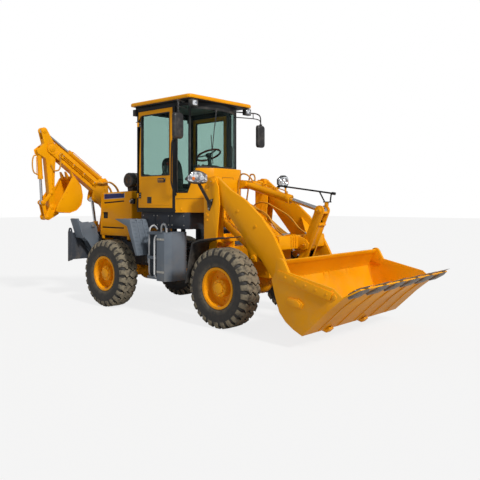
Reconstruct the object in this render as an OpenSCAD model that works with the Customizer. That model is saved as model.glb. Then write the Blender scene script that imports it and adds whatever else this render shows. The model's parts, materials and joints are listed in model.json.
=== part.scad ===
// Centre-steered backhoe loader, standing parked with its loader bucket rolled back
// and its hoe folded to the right. X points forward, Y to the left, Z up.
// The origin lies on the ground at the steering hinge, midway between the axles.

/* [Running gear] */
// Distance between the front and rear axles
wheelbase = 2520; // [2500:5:2540]
// Distance between the tyre centres of one axle
track = 1580; // [1575:1:1590]
// Diameter of a tyre over its lugs
tyre_d = 1075; // [1060:5:1085]
// Width of a tyre
tyre_w = 330; // [318:2:334]
// Depth of the tread's grooves
lug_depth = 24; // [16:1:28]
// Diameter of a rim's flange
rim_d = 556; // [540:4:570]
// Width of a rim over its flanges
rim_w = 270; // [250:2:280]
// Radius of the spindle that carries a wheel
spindle_r = 60; // [50:1:66]
// Radius of an axle tube
axle_tube_r = 84; // [70:1:90]

/* [Frames] */
// Thickness of the frame plates
frame_t = 28; // [20:1:32]
// Height of the underside of the frames
frame_z0 = 640; // [634:1:648]
// Height of the top of the frames
frame_z1 = 1030; // [1015:1:1045]
// Half width of the front frame at the steering hinge
front_half_w = 248; // [236:1:252]
// Half width of the rear frame
rear_half_w = 290; // [280:1:296]
// Radius of the steering hinge pin
hinge_pin_r = 35; // [28:1:40]

/* [Loader tower] */
// Distance between the outer faces of the tower's outer plates
tower_w = 1222; // [1216:2:1226]
// Thickness of the tower plates
tower_t = 22; // [18:1:26]
// Gap between an outer and an inner tower plate
tower_gap = 88; // [84:1:90]
// Radius of the lift arm's pivot pin
arm_pin_r = 40; // [32:1:46]

/* [Loader arms and bucket] */
// Thickness of a lift arm plate
arm_t = 45; // [40:1:48]
// Outer radius of the lift cylinders
lift_barrel_r = 50; // [44:1:54]
// Outer radius of the tilt cylinder
tilt_barrel_r = 56; // [50:1:60]
// Width of the loader bucket over its side plates
bucket_w = 2268; // [2240:4:2290]
// Thickness of the bucket's side plates
bucket_side_t = 20; // [14:1:24]
// Thickness of the bucket's shell
bucket_shell_t = 16; // [12:1:20]
// Number of teeth on the bucket's edge
bucket_teeth_n = 6; // [5:1:7]

/* [Cab] */
// Width of the cab over its doors
cab_w = 1240; // [1220:2:1250]
// Height of the cab's underside
cab_z0 = 1530; // [1520:1:1540]
// Height of the roof's underside
roof_z0 = 3200; // [3180:2:3230]
// Thickness of the roof
roof_t = 76; // [60:1:90]
// Width of the roof
roof_w = 1404; // [1380:2:1420]
// Width of a cab post
post_w = 60; // [50:1:64]
// Thickness of the glass
glass_t = 6; // [5:0.5:8]

/* [Hood] */
// Width of the engine hood
hood_w = 960; // [920:4:990]
// Height of the hood's rear top edge
hood_top = 1850; // [1830:2:1870]
// Thickness of the hood's panels
hood_t = 14; // [10:1:18]

/* [Hoe] */
// Width of the boom
boom_w = 160; // [150:2:166]
// Width of the dipper stick
stick_w = 116; // [108:2:120]
// Width of the hoe's bucket
hoe_bucket_w = 420; // [380:4:440]
// Thickness of the hoe bucket's side plates
hoe_side_t = 14; // [10:1:18]
// Distance of the hoe's swing centre left of the middle
hoe_shift = 300; // [280:5:320]

/* [Stabilizers] */
// Width of a stabilizer leg, front to back
leg_w = 176; // [166:2:180]
// Outer radius of a stabilizer cylinder
leg_barrel_r = 44; // [38:1:48]

/* [Hidden] */

$fn = 48;
yellow = "orange";
light_grey = "lightslategray";
dark_grey = "darkslategray";
black = "dimgray";

// Running clearance of a pin in its bore, and the gap between faces that slide
pin_gap = 0.1;
face_gap = 0.3;
side_gap = 3;

axle_x = wheelbase / 2;
wheel_y = track / 2;
wheel_r = tyre_d / 2;
tower_out = tower_w / 2;
tower_in = tower_out - tower_t - tower_gap - tower_t;
arm_y1 = tower_out - tower_t - (tower_gap - arm_t) / 2;
arm_y0 = arm_y1 - arm_t;
lift_ear_y = tower_in - 149;
bucket_y = bucket_w / 2;
cab_y = cab_w / 2;
mirror_sides = [-1, 1];

// Pins of the loader in the x-z plane
arm_pivot = [860, 1975];
bucket_pivot = [2190, 440];
rocker_pivot = [2081, 1112];
rocker_top = [2302, 1571];
rocker_low = [1920, 665];
bucket_ear = [2272, 705];
tilt_base = [980, 1950];
lift_base = [830, 1460];
lift_eye = [1585, 933];

// Pins of the hoe: first the reach from the swing centre, then the height
boom_foot = [100, 1520];
boom_tip = [1360, 2620];
stick_top = [1500, 2920];
stick_end = [1360, 1600];
stick_ram_base = [270, 2080];
boom_ram_base = [350, 800];
boom_ram_eye = [500, 1750];
guide_base = [1370, 1850];
guide_end = [1520, 1680];
hoe_link_end = [1460, 1427];
bucket_ram_base = [1570, 2570];
hoe_x = -2660;

// Pins of the stabilizers: first the distance from the middle, then the height
leg_pivot = [320, 550];
leg_eye = [610, 1280];
leg_ram_base = [120, 620];
leg_x0 = -2208;
beam_x0 = -2350;
beam_x1 = -2230;

// Small helpers: a plate lies in the named plane and is extruded across it
module plate_xz(points, y0, y1)
    translate([0, y1, 0]) rotate([90, 0, 0]) linear_extrude(y1 - y0) polygon(points);
module plate_yz(points, x0, x1)
    translate([x0, 0, 0]) rotate([90, 0, 90]) linear_extrude(x1 - x0) polygon(points);
module plate_xy(points, z0, z1)
    translate([0, 0, z0]) linear_extrude(z1 - z0) polygon(points);
module disc_y(at, r, y0, y1)
    translate([at[0], y0, at[1]]) rotate([-90, 0, 0]) cylinder(h = y1 - y0, r = r);
module disc_x(at, r, x0, x1)
    translate([x0, at[0], at[1]]) rotate([0, 90, 0]) cylinder(h = x1 - x0, r = r);
module block(lo, hi)
    translate(lo) cube([hi[0] - lo[0], hi[1] - lo[1], hi[2] - lo[2]]);
module both_sides()
    for (s = mirror_sides) scale([1, s, 1]) children();
// A round bar between two points of the x-z plane at one y
module bar_xz(p, q, r, y)
    translate([p[0], y, p[1]]) rotate([0, atan2(q[0] - p[0], q[1] - p[1]), 0])
        cylinder(h = norm(q - p), r = r);
// A flat bar with parallel sides between two points of the x-z plane
function bar_outline(p, q, a, b) =
    let (d = (q - p) / norm(q - p), n = [-d[1], d[0]])
    [p + n * a, q + n * b, q - n * b, p - n * a];
module tube_between(p, q, r)
    let (d = q - p)
    translate(p) rotate([0, acos(d[2] / norm(d)), atan2(d[1], d[0])]) cylinder(h = norm(d), r = r);
// A bent tube through a list of points, with balls at its bends
module bent_tube(points, r) {
    for (i = [0 : len(points) - 2]) tube_between(points[i], points[i + 1], r);
    for (i = [1 : len(points) - 2]) translate(points[i]) sphere(r = r * 1.02);
}

// Wheels
tyre_bead_r = rim_d / 2 - 22;
bead_w = rim_w / 2 - 13;
lug_n = 26;
lug_pitch = 360 / lug_n;
tyre_half = tyre_w / 2;
// Rings of the tyre's skin: height, radius, place of the groove and its width in parts of the pitch; a width of 0 is a plain ring
tyre_rings = [
    [-bead_w, tyre_bead_r, 0.02, 0], [-bead_w, rim_d / 2 + 1, 0.02, 0], [1 - tyre_half, rim_d / 2 + 82, 0.02, 0],
    [4 - tyre_half, wheel_r - 60, 0.02, 0.50], [40 - tyre_half, wheel_r - 3, 0.02, 0.40], [-tyre_w / 6, wheel_r, 0.30, 0.24],
    [0, wheel_r, 0.24, 0.24],
    [tyre_w / 6, wheel_r, 0.18, 0.24], [tyre_half - 40, wheel_r - 3, 0.46, 0.40], [tyre_half - 4, wheel_r - 60, 0.46, 0.50],
    [tyre_half - 1, rim_d / 2 + 82, 0.46, 0], [bead_w, rim_d / 2 + 1, 0.46, 0], [bead_w, tyre_bead_r, 0.46, 0]
];
ring_last = len(tyre_rings) - 1;
function ring_count(i) = tyre_rings[i][3] == 0 ? lug_n : 3 * lug_n;
function ring_start(i) = i == 0 ? 0 : ring_start(i - 1) + ring_count(i - 1);
function ring_point(z, r, at) = [r * cos((at + 0.38) * lug_pitch), r * sin((at + 0.38) * lug_pitch), z];
function plain_ring(g) = [for (k = [0 : lug_n - 1]) ring_point(g[0], g[1] / cos(180 / lug_n), k + g[2])];
function lug_ring(g) = [for (k = [0 : lug_n - 1], c = [0 : 2])
    ring_point(g[0], c == 0 ? g[1] - lug_depth : g[1], k + g[2] + (c == 0 ? 0 : c == 1 ? g[3] / 2 : 1 - g[3] / 2))];
function even_band(i, j, n) = let (a = ring_start(i), b = ring_start(j), turned = tyre_rings[j][2] > tyre_rings[i][2])
    [for (k = [0 : n - 1], h = [0, 1]) let (l = (k + 1) % n)
        turned ? (h == 0 ? [a + k, b + k, a + l] : [a + l, b + k, b + l])
        : (h == 0 ? [a + k, b + k, b + l] : [a + k, b + l, a + l])];
function fan_out(i, j) = let (a = ring_start(i), b = ring_start(j))
    [for (k = [0 : lug_n - 1], h = [0 : 3]) let (l = (k + 1) % lug_n, t = b + 3 * k)
        [[a + k, t, t + 1], [a + k, t + 1, t + 2], [a + k, t + 2, a + l], [a + l, t + 2, b + 3 * l]][h]];
function fan_in(i, j) = let (a = ring_start(i), b = ring_start(j))
    [for (k = [0 : lug_n - 1], h = [0 : 3]) let (l = (k + 1) % lug_n, t = a + 3 * k)
        [[t, b + k, t + 1], [t + 1, b + k, t + 2], [t + 2, b + k, b + l], [t + 2, b + l, a + 3 * l]][h]];
function band(i, j) = ring_count(i) == ring_count(j) ? even_band(i, j, ring_count(i))
    : ring_count(i) < ring_count(j) ? fan_out(i, j) : fan_in(i, j);
module tyre_body()
    polyhedron(
        points = [for (g = tyre_rings) for (q = g[3] == 0 ? plain_ring(g) : lug_ring(g)) q],
        faces = [for (i = [0 : ring_last]) for (f = band(i, i == ring_last ? 0 : i + 1)) f]);
module tyre_at(x, s)
    color("darkslategray") translate([x, s * wheel_y, wheel_r]) rotate([-90 * s, 0, 0]) tyre_body();
rim_dish = 20;
hub_out = 96;
module rim_body() {
    seat = tyre_bead_r - 0.3;
    half = rim_w / 2;
    difference() {
        union() {
            rotate_extrude() polygon([
                [seat - 12, -half], [rim_d / 2, -half], [rim_d / 2, -half + 12], [seat, -half + 12.4],
                [seat, half - 12.4], [rim_d / 2, half - 12], [rim_d / 2, half], [seat - 12, half]
            ]);
            translate([0, 0, -rim_dish]) cylinder(h = 16, r = seat - 6);
            translate([0, 0, -half + 24]) cylinder(h = half + hub_out - 24, r = 118);
            translate([0, 0, hub_out - 2]) cylinder(h = 26, r = 72);
            for (a = [0 : 45 : 315]) rotate([0, 0, a]) translate([95, 0, hub_out - 1]) cylinder(h = 15, r = 13, $fn = 6);
        }
        translate([0, 0, -half]) cylinder(h = half + 30, r = spindle_r + pin_gap);
    }
}
module rim_at(x, s)
    color(yellow) translate([x, s * wheel_y, wheel_r]) rotate([-90 * s, 0, 0]) rim_body();

// Axle with its gear housing, tubes, flanges and spindles, and the shaft to the middle
flange_y = wheel_y - rim_w / 2 + 18;
module axle(x, dir, half) {
    translate([x, 0, wheel_r]) sphere(r = 165);
    disc_x([0, wheel_r], 150, x - 60, x + 60);
    disc_y([x, wheel_r], axle_tube_r, -flange_y, flange_y);
    both_sides() {
        disc_y([x, wheel_r], 135, flange_y - 52, flange_y);
        disc_y([x, wheel_r], spindle_r, flange_y - 1, wheel_y + 20);
        block([x - 90, half - 50, wheel_r + 40], [x + 90, half, frame_z0 - face_gap]);
    }
    drive_line(x, dir);
}
module drive_line(x, dir) {
    nose = x - dir * 330;
    translate([min(x, nose), 0, wheel_r]) rotate([0, 90, 0]) cylinder(h = 330, r = 78);
    tail = dir * 70;
    translate([min(nose, tail), 0, wheel_r]) rotate([0, 90, 0]) cylinder(h = abs(nose - tail), r = 36);
    translate([tail - 14, 0, wheel_r]) rotate([0, 90, 0]) cylinder(h = 28, r = 62);
}
module rear_axle() color(yellow) axle(-axle_x, -1, rear_half_w);
module front_axle() color(yellow) axle(axle_x, 1, front_half_w);

// Rear frame with the steering hinge's lugs, the stabilizer frame and the hoe's beam
lug_t = 36;
hinge_top = frame_z1 - 90;
hinge_low = frame_z0 + 60;
rear_front_x = -280;
rear_end_x = -1980;
beam_z0 = 700;
beam_z1 = 1160;
beam_half = 900;
module hinge_lug(x, half, z) {
    plate_xy([[x, -half], [x, half], [0, hinge_pin_r * 2.1], [0, -hinge_pin_r * 2.1]], z, z + lug_t);
    translate([0, 0, z]) cylinder(h = lug_t, r = hinge_pin_r * 2.4);
}
module rear_chassis() color(dark_grey) {
    both_sides() block([rear_end_x, rear_half_w - frame_t, frame_z0], [rear_front_x, rear_half_w, frame_z1]);
    block([rear_front_x - frame_t, -rear_half_w, frame_z0 - 20], [rear_front_x, rear_half_w, frame_z1]);
    block([rear_end_x, -rear_half_w - 150, 470], [rear_end_x + frame_t, rear_half_w + 150, frame_z1]);
    hinge_lug(rear_front_x - 1, rear_half_w - 80, hinge_top);
    hinge_lug(rear_front_x - 1, rear_half_w - 80, hinge_low);
    translate([0, 0, hinge_low - 14]) cylinder(h = hinge_top + lug_t + 28 - hinge_low, r = hinge_pin_r);
    // Cross-members
    for (x = [-1780, -620]) block([x, -rear_half_w + 1, frame_z0], [x + 60, rear_half_w - 1, frame_z0 + 90]);
    // Centre box, pins and lower plate of the stabilizer frame
    block([beam_x1 - 1, -55, frame_z0 + 20], [rear_end_x + 1, 55, beam_z1 - 60]);
    block([beam_x1 - 1, -300, leg_pivot[1] - 100], [rear_end_x + frame_t, 300, leg_pivot[1] - 80]);
    both_sides() {
        disc_x(leg_pivot, 26, beam_x1 - 2, leg_x0 + leg_plate_t + 2);
        disc_x(leg_pivot, 26, leg_x0 + leg_w - leg_plate_t - 2, rear_end_x + 2);
        disc_x(leg_ram_base, 20, beam_x1 - 2, rear_end_x + 2);
    }
    // Beam that the hoe's carriage slides on
    block([beam_x1 - 30, -beam_half, beam_z0 + 1], [beam_x1, beam_half, beam_z1 - 1]);
    block([beam_x1 - 30, -leg_pivot[0] - 120, leg_pivot[1] - 100], [beam_x1, leg_pivot[0] + 120, beam_z0 + 2]);
    for (z = [beam_z0, beam_z1 - 60]) block([beam_x0 + 30, -beam_half, z], [beam_x1, beam_half, z + 60]);
    both_sides() beam_end();
    // Floor and side walls under the cab
    block([-780, -cab_y + 70, cab_z0 - 250], [330, -cab_y + 90, cab_z0 - face_gap]);
    block([-780, cab_y - 90, cab_z0 - 250], [330, cab_y - 70, cab_z0 - face_gap]);
    block([-780, -cab_y + 71, cab_z0 - 250], [-760, cab_y - 71, cab_z0 - face_gap]);
    block([310, -cab_y + 71, cab_z0 - 250], [329, cab_y - 71, cab_z0 - face_gap]);
    block([-780, -cab_y + 71, cab_z0 - 250], [329, cab_y - 71, cab_z0 - 234]);
    for (x = [-700, -340]) both_sides()
        block([x, rear_half_w - frame_t - 30, frame_z1 - 1], [x + 60, rear_half_w, cab_z0 - 249]);
}
module beam_end() {
    y1 = beam_half;
    difference() {
        union() {
            plate_xz([[beam_x0, beam_z0 - 40], [beam_x1, beam_z0 - 10], [beam_x1, beam_z1 + 10],
                [beam_x1 - 14, beam_z1 + 40], [beam_x0 + 14, beam_z1 + 40], [beam_x0, beam_z1 + 10]], y1 - 20, y1);
            disc_y([(beam_x0 + beam_x1) / 2, beam_z1 + 40], 46, y1 - 20, y1);
        }
        disc_y([(beam_x0 + beam_x1) / 2, beam_z1 + 40], 20, y1 - 30, y1 + 10);
    }
}

// Engine block with the gearbox ahead of it
module engine() color(black) {
    block([-1900, -210, frame_z0 + 100], [-1160, 210, 1560]);
    block([-1000, -200, frame_z0], [-700, 200, frame_z1 - 20]);
    block([-1161, -60, 800], [-999, 60, 920]);
    // Feet on the frame plates
    for (x = [-1780, -1280, -880]) both_sides()
        block([x, 199, 820], [x + 80, rear_half_w - frame_t - face_gap, 880]);
}

// Hood over the engine: side panels with slots, a top and a rear grille
hood_x0 = -2010;
hood_x1 = -1120;
hood_z0 = 1110;
hood_front_top = hood_top + 24;
module hood_outline(inset)
    polygon([[hood_x0 + inset, hood_z0 - (inset > 0 ? 10 : 0)], [hood_x1 - inset, hood_z0 - (inset > 0 ? 10 : 0)],
        [hood_x1 - inset, hood_front_top - inset], [hood_x0 + 60 + inset * 0.5, hood_top - inset],
        [hood_x0 + 26 + inset, hood_top - 40 - inset * 0.5]]);
module engine_hood() color(yellow) {
    half = hood_w / 2;
    difference() {
        translate([0, half, 0]) rotate([90, 0, 0]) linear_extrude(hood_w) hood_outline(0);
        translate([0, half - hood_t, 0]) rotate([90, 0, 0]) linear_extrude(hood_w - 2 * hood_t) hood_outline(hood_t);
        // Slots and the square vent
        both_sides() {
            plate_xz([[-1930, 1735], [-1380, 1768], [-1380, 1792], [-1930, 1759]], half - 40, half + 10);
            plate_xz([[-1930, 1180], [-1380, 1180], [-1380, 1205], [-1930, 1205]], half - 40, half + 10);
            block([-1890, half - 40, 1480], [-1760, half + 10, 1600]);
        }
        // Rear opening of the radiator
        block([hood_x0 - 10, -half + 110, hood_z0 + 90], [hood_x0 + 60, half - 110, hood_top - 110]);
    }
    // Grille bars of the radiator opening
    for (i = [0 : 6]) block([hood_x0 + 12, -half + 109, hood_z0 + 150 + i * 62], [hood_x0 + 34, half - 109, hood_z0 + 172 + i * 62]);
    // Mounts down to the frame
    for (x = [hood_x0 + 60, hood_x1 - 120]) both_sides()
        block([x, rear_half_w - frame_t, frame_z1 + face_gap], [x + 60, half - 1, frame_z1 + 30]);
    for (x = [hood_x0 + 60, hood_x1 - 120]) both_sides()
        block([x, half - 30, frame_z1 + face_gap], [x + 60, half - 1, hood_z0 + 2]);
}

// Air cleaner lying across the hood, with its clamp band and saddle
air_r = 128;
air_at = [-1330, 2056];
function hood_line(x) = hood_top + face_gap + (x - hood_x0 - 60) * (hood_front_top - hood_top) / (hood_x1 - hood_x0 - 60);
module air_cleaner() color(black) {
    disc_y(air_at, air_r, -400, -150);
    disc_y(air_at, air_r - 14, -151, 60);
    disc_y(air_at, air_r + 6, -300, -272);
    plate_xz([[air_at[0] - 60, hood_line(air_at[0] - 60)], [air_at[0] + 60, hood_line(air_at[0] + 60)],
        [air_at[0] + 60, air_at[1] - 90], [air_at[0] - 60, air_at[1] - 90]], -350, -200);
    disc_y([air_at[0], air_at[1]], 60, 59, 200);
}

// Cab shell in plan: straight sides, tapered quarters and a curved front
cab_x0 = -800;
post_x = 40;
corner_x = 300;
corner_y = 530;
shield_x = 450;
shield_r = (corner_y * corner_y + pow(shield_x - corner_x, 2)) / (2 * (shield_x - corner_x));
module cab_plan(inset) {
    polygon([[cab_x0 + inset, -cab_y + inset], [post_x + post_w, -cab_y + inset], [corner_x, -corner_y + inset],
        [corner_x, corner_y - inset], [post_x + post_w, cab_y - inset], [cab_x0 + inset, cab_y - inset]]);
    intersection() {
        translate([shield_x - shield_r, 0]) circle(r = shield_r - inset, $fn = 96);
        translate([corner_x - 1, -corner_y + inset]) square([200, 2 * (corner_y - inset)]);
    }
}
module cab_ring(z0, z1, inset0, inset1)
    translate([0, 0, z0]) linear_extrude(z1 - z0) difference() {
        cab_plan(inset0);
        cab_plan(inset1);
    }
sill = 60;
header = 80;
hinge_at = [cab_x0 + 42, cab_y + 16];
hinge_r = 8;
hinge_z = [cab_z0 + 226, roof_z0 - 320];
corner_at = [284, 494];
corner_r = 16;
module cab_frame() color(black) {
    // Floor, sills and header ring
    translate([0, 0, cab_z0]) linear_extrude(24) cab_plan(20);
    block([cab_x0, -cab_y + 45, cab_z0], [cab_x0 + 46, cab_y - 45, cab_z0 + sill]);
    cab_ring(roof_z0 - header, roof_z0 - face_gap, 0, 46);
    // Sills and posts
    both_sides() {
        block([cab_x0, cab_y - 46, cab_z0], [post_x + post_w, cab_y, cab_z0 + sill]);
        block([cab_x0, cab_y - 100, cab_z0], [cab_x0 + 24, cab_y, roof_z0 - 1]);
        block([cab_x0, cab_y - 100, cab_z0], [cab_x0 + 46, cab_y - 52, roof_z0 - 1]);
        block([post_x, cab_y - 46, cab_z0], [post_x + post_w, cab_y, roof_z0 - 1]);
        translate([corner_at[0], corner_at[1], cab_z0]) cylinder(h = roof_z0 - 1 - cab_z0, r = corner_r);
    }
    // Hinge brackets and pins of the doors
    both_sides() for (z = hinge_z) {
        block([cab_x0 + 2, cab_y - 1, z + 72], [cab_x0 + 24, cab_y + 29, z + 82]);
        block([cab_x0 + 23, cab_y + 6, z + 72], [hinge_at[0], cab_y + 26, z + 82]);
        translate([hinge_at[0], hinge_at[1], z + 72]) cylinder(h = 10, r = 13);
        translate([hinge_at[0], hinge_at[1], z - 4]) cylinder(h = 80, r = hinge_r);
    }
    // Rear wall below its window
    block([cab_x0, -cab_y + 60, cab_z0], [cab_x0 + 20, cab_y - 60, 1990]);
}

// Roof panel, slightly crowned edge at its front
roof_x0 = -880;
roof_x1 = 500;
module roof_plan(inset)
    polygon([[roof_x0 + 30 + inset, -roof_w / 2 + inset], [roof_x1 - 60 - inset, -roof_w / 2 + inset],
        [roof_x1 - inset, -roof_w / 2 + 60 + inset], [roof_x1 - inset, roof_w / 2 - 60 - inset],
        [roof_x1 - 60 - inset, roof_w / 2 - inset], [roof_x0 + 30 + inset, roof_w / 2 - inset],
        [roof_x0 + inset, roof_w / 2 - 30 - inset], [roof_x0 + inset, -roof_w / 2 + 30 + inset]]);
module cab_roof() color(yellow) {
    translate([0, 0, roof_z0]) linear_extrude(roof_t - 26) roof_plan(0);
    translate([0, 0, roof_z0 + roof_t - 27]) linear_extrude(14) roof_plan(16);
    translate([0, 0, roof_z0 + roof_t - 14]) linear_extrude(14) roof_plan(70);
}

// Yellow cowl ahead of the doors and below the windshield
cowl_top = 2190;
cowl_step = 1820;
cowl_t = 14;
cowl_rear = post_x + post_w + 1;
module cowl_plan(rear, side, inset)
    polygon([[rear, -side], [470 - inset * 0.4, -450 + inset], [590 - inset, -290], [600 - inset, -120],
        [600 - inset, 120], [590 - inset, 290], [470 - inset * 0.4, 450 - inset], [rear, side]]);
module cowl_profile(inset)
    polygon([[0, cab_z0 - inset], [700, cab_z0 - inset], [700, cowl_top - 90], [590 - inset, cowl_top - inset],
        [400 + inset, cowl_top - inset], [330 + inset, 1960 - inset], [280 + inset, cowl_step - inset], [0, cowl_step - inset]]);
module cab_cowl() color(yellow) {
    difference() {
        intersection() {
            translate([0, 0, cab_z0]) linear_extrude(cowl_top - cab_z0) cowl_plan(cowl_rear, cab_y, 0);
            translate([0, 700, 0]) rotate([90, 0, 0]) linear_extrude(1400) cowl_profile(0);
        }
        intersection() {
            translate([0, 0, cab_z0 - 10]) linear_extrude(cowl_top - cab_z0) cowl_plan(cowl_rear - 40, cab_y + 4, cowl_t);
            translate([0, 700, 0]) rotate([90, 0, 0]) linear_extrude(1400) cowl_profile(cowl_t);
        }
        // Footwell between the cab's corner posts
        block([0, -480, cab_z0 - 1], [345, 480, cowl_top - 150]);
        both_sides() translate([corner_at[0], corner_at[1], cab_z0 - 1]) cylinder(h = 700, r = corner_r + 1);
    }
    // Feet on the cab's floor
    both_sides() block([150, cab_y - 80, cab_z0 + 24 + face_gap], [200, cab_y - 34, cab_z0 + 60]);
}

// Fixed glass: windshield, quarter panes and rear window
module cab_glass() color("paleturquoise", 0.5) {
    z0 = 1970;
    z1 = roof_z0 - header - face_gap;
    difference() {
        intersection() {
            translate([shield_x - shield_r, 0, z0]) cylinder(h = z1 - z0, r = shield_r - 10, $fn = 96);
            block([corner_at[0] + corner_r + 1, -corner_y + 10, z0], [500, corner_y - 10, z1]);
        }
        translate([shield_x - shield_r, 0, z0 - 1]) cylinder(h = z1 - z0 + 2, r = shield_r - 10 - glass_t, $fn = 96);
        translate([-face_gap, 700, face_gap]) rotate([90, 0, 0]) linear_extrude(1400) cowl_profile(0);
    }
    both_sides() {
        d = [corner_x - post_x - post_w, corner_y - cab_y] / norm([corner_x - post_x - post_w, corner_y - cab_y]);
        n = [-d[1], d[0]];
        a = [post_x + post_w, cab_y] - n * 22 + d * 14;
        b = a + d * 192;
        plate_xy([a, b, b - n * glass_t, a - n * glass_t], cowl_step + face_gap, z1);
    }
    block([cab_x0 + 8, -cab_y + 101, 1991], [cab_x0 + 8 + glass_t, cab_y - 101, z1]);
}

// Operator's seat on its pedestal
module seat() color(black) {
    z0 = cab_z0 + 24 + face_gap;
    block([-520, -150, z0], [-180, 150, z0 + 240]);
    block([-580, -230, z0 + 239], [-110, 230, z0 + 350]);
    plate_xz([[-600, z0 + 300], [-500, z0 + 300], [-590, z0 + 900], [-660, z0 + 890]], -215, 215);
}

// Steering column with its wheel, and the levers beside the seat
module controls() color(black) {
    z0 = cab_z0 + 24 + face_gap;
    wheel_at = [190, 0, 2420];
    block([150, -130, z0], [285, 130, 2240]);
    tube_between([240, 0, 2200], wheel_at, 26);
    translate(wheel_at) rotate([0, -24, 0]) {
        rotate_extrude() translate([190, 0]) circle(r = 14, $fn = 20);
        for (a = [30, 150, 270]) rotate([0, 0, a]) rotate([0, 90, 0]) cylinder(h = 188, r = 9);
        translate([0, 0, -16]) cylinder(h = 30, r = 40);
    }
    both_sides() {
        block([-560, 290, z0], [-250, 400, z0 + 480]);
        for (x = [-500, -400, -300]) tube_between([x, 345, z0 + 470], [x + 20, 345, z0 + 640], 9);
        for (x = [-480, -380, -280]) translate([x, 345, z0 + 650]) sphere(r = 24);
    }
}

// Tank and steps on both sides between the wheels, with their rails
step_y1 = 870;
step_x1 = 200;
step_z0 = 520;
step_z1 = 1240;
module side_steps() color(light_grey) both_sides() {
    tank_x0 = -30;
    // Tank with a chamfered outer front corner
    plate_xy([[tank_x0, 480], [step_x1, 480], [step_x1, step_y1 - 90], [step_x1 - 60, step_y1], [tank_x0, step_y1]], step_z0, step_z1);
    // Step bay: back, far side and treads
    block([-290, 520, step_z0 + 30], [tank_x0 + 1, 540, step_z1]);
    block([-290, 520, step_z0 + 30], [-270, 800, step_z1]);
    for (z = [step_z0 + 30, step_z0 + 330, step_z1 - 24]) block([-289, 521, z], [tank_x0 + 1, 830, z + 24]);
    // Bearer to the rear frame
    block([-330, rear_half_w + face_gap, 760], [-291, 800, 900]);
    block([-330, rear_half_w + face_gap, 760], [-270, 521, 900]);
    // Hoop on the tank and the hand rail of the steps
    bent_tube([[10, step_y1 - 60, step_z1 - 10], [10, step_y1 - 60, step_z1 + 90], [60, step_y1 - 60, step_z1 + 130],
        [120, step_y1 - 60, step_z1 + 90], [120, step_y1 - 60, step_z1 - 10]], 13);
    bent_tube([[-80, step_y1 - 42, step_z0 + 40], [-80, step_y1, step_z0 + 80], [-80, step_y1, step_z1 - 120],
        [-60, step_y1, step_z1 - 60], [-10, step_y1 - 20, step_z1 - 40]], 12);
}

// Wings ahead of the rear wheels: side plates, ribbed steps and tops
module rear_fenders() color(light_grey) both_sides() {
    outer = [[-1010, 1420], [-630, 1420], [-440, 870], [-490, 870], [-700, 1310]];
    plate_xz(outer, 884, 900);
    y0 = cab_y - 60;
    plate_xz(outer, y0, y0 + 16);
    for (y = [y0 + 16, (y0 + 820) / 2, 804]) plate_xz([[-660, 1420], [-630, 1420], [-440, 870], [-470, 870]], y - 1, y + 81);
    plate_xz([[-650, 1400], [-640, 1400], [-452, 870], [-462, 870]], y0 + 15, 885);
    plate_xz([[-1008, 1408], [-635, 1408], [-635, 1420], [-1008, 1420]], y0 + 15, 885);
    block([-700, cab_y - 70 + face_gap, cab_z0 - 200], [-640, y0 + 1, cab_z0 - 120]);
}

// Rear view mirrors on double tubes
module mirrors() color(black) both_sides() {
    at = [490, 915];
    block([at[0] - 30, at[1] - 95, 2580], [at[0] + 30, at[1] + 95, 2950]);
    bent_tube([[289.4, 535.8, 3145], [at[0] - 60, at[1] - 30, 3145], [at[0], at[1], 3090], [at[0], at[1], 2940]], 11);
    tube_between([262.4, 547.9, 3145], [at[0] - 65, at[1] - 43, 3145], 9);
}

// Work lamps under the roof's corners
module work_lamps() color("silver") both_sides() {
    block([430, 530, 3080], [500, 660, 3180]);
    block([440, 580, 3170], [480, 610, roof_z0 - face_gap]);
    block([-870, 540, 3060], [-806, 650, 3160]);
    block([-850, 580, 3150], [-820, 610, roof_z0 - face_gap]);
}

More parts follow.
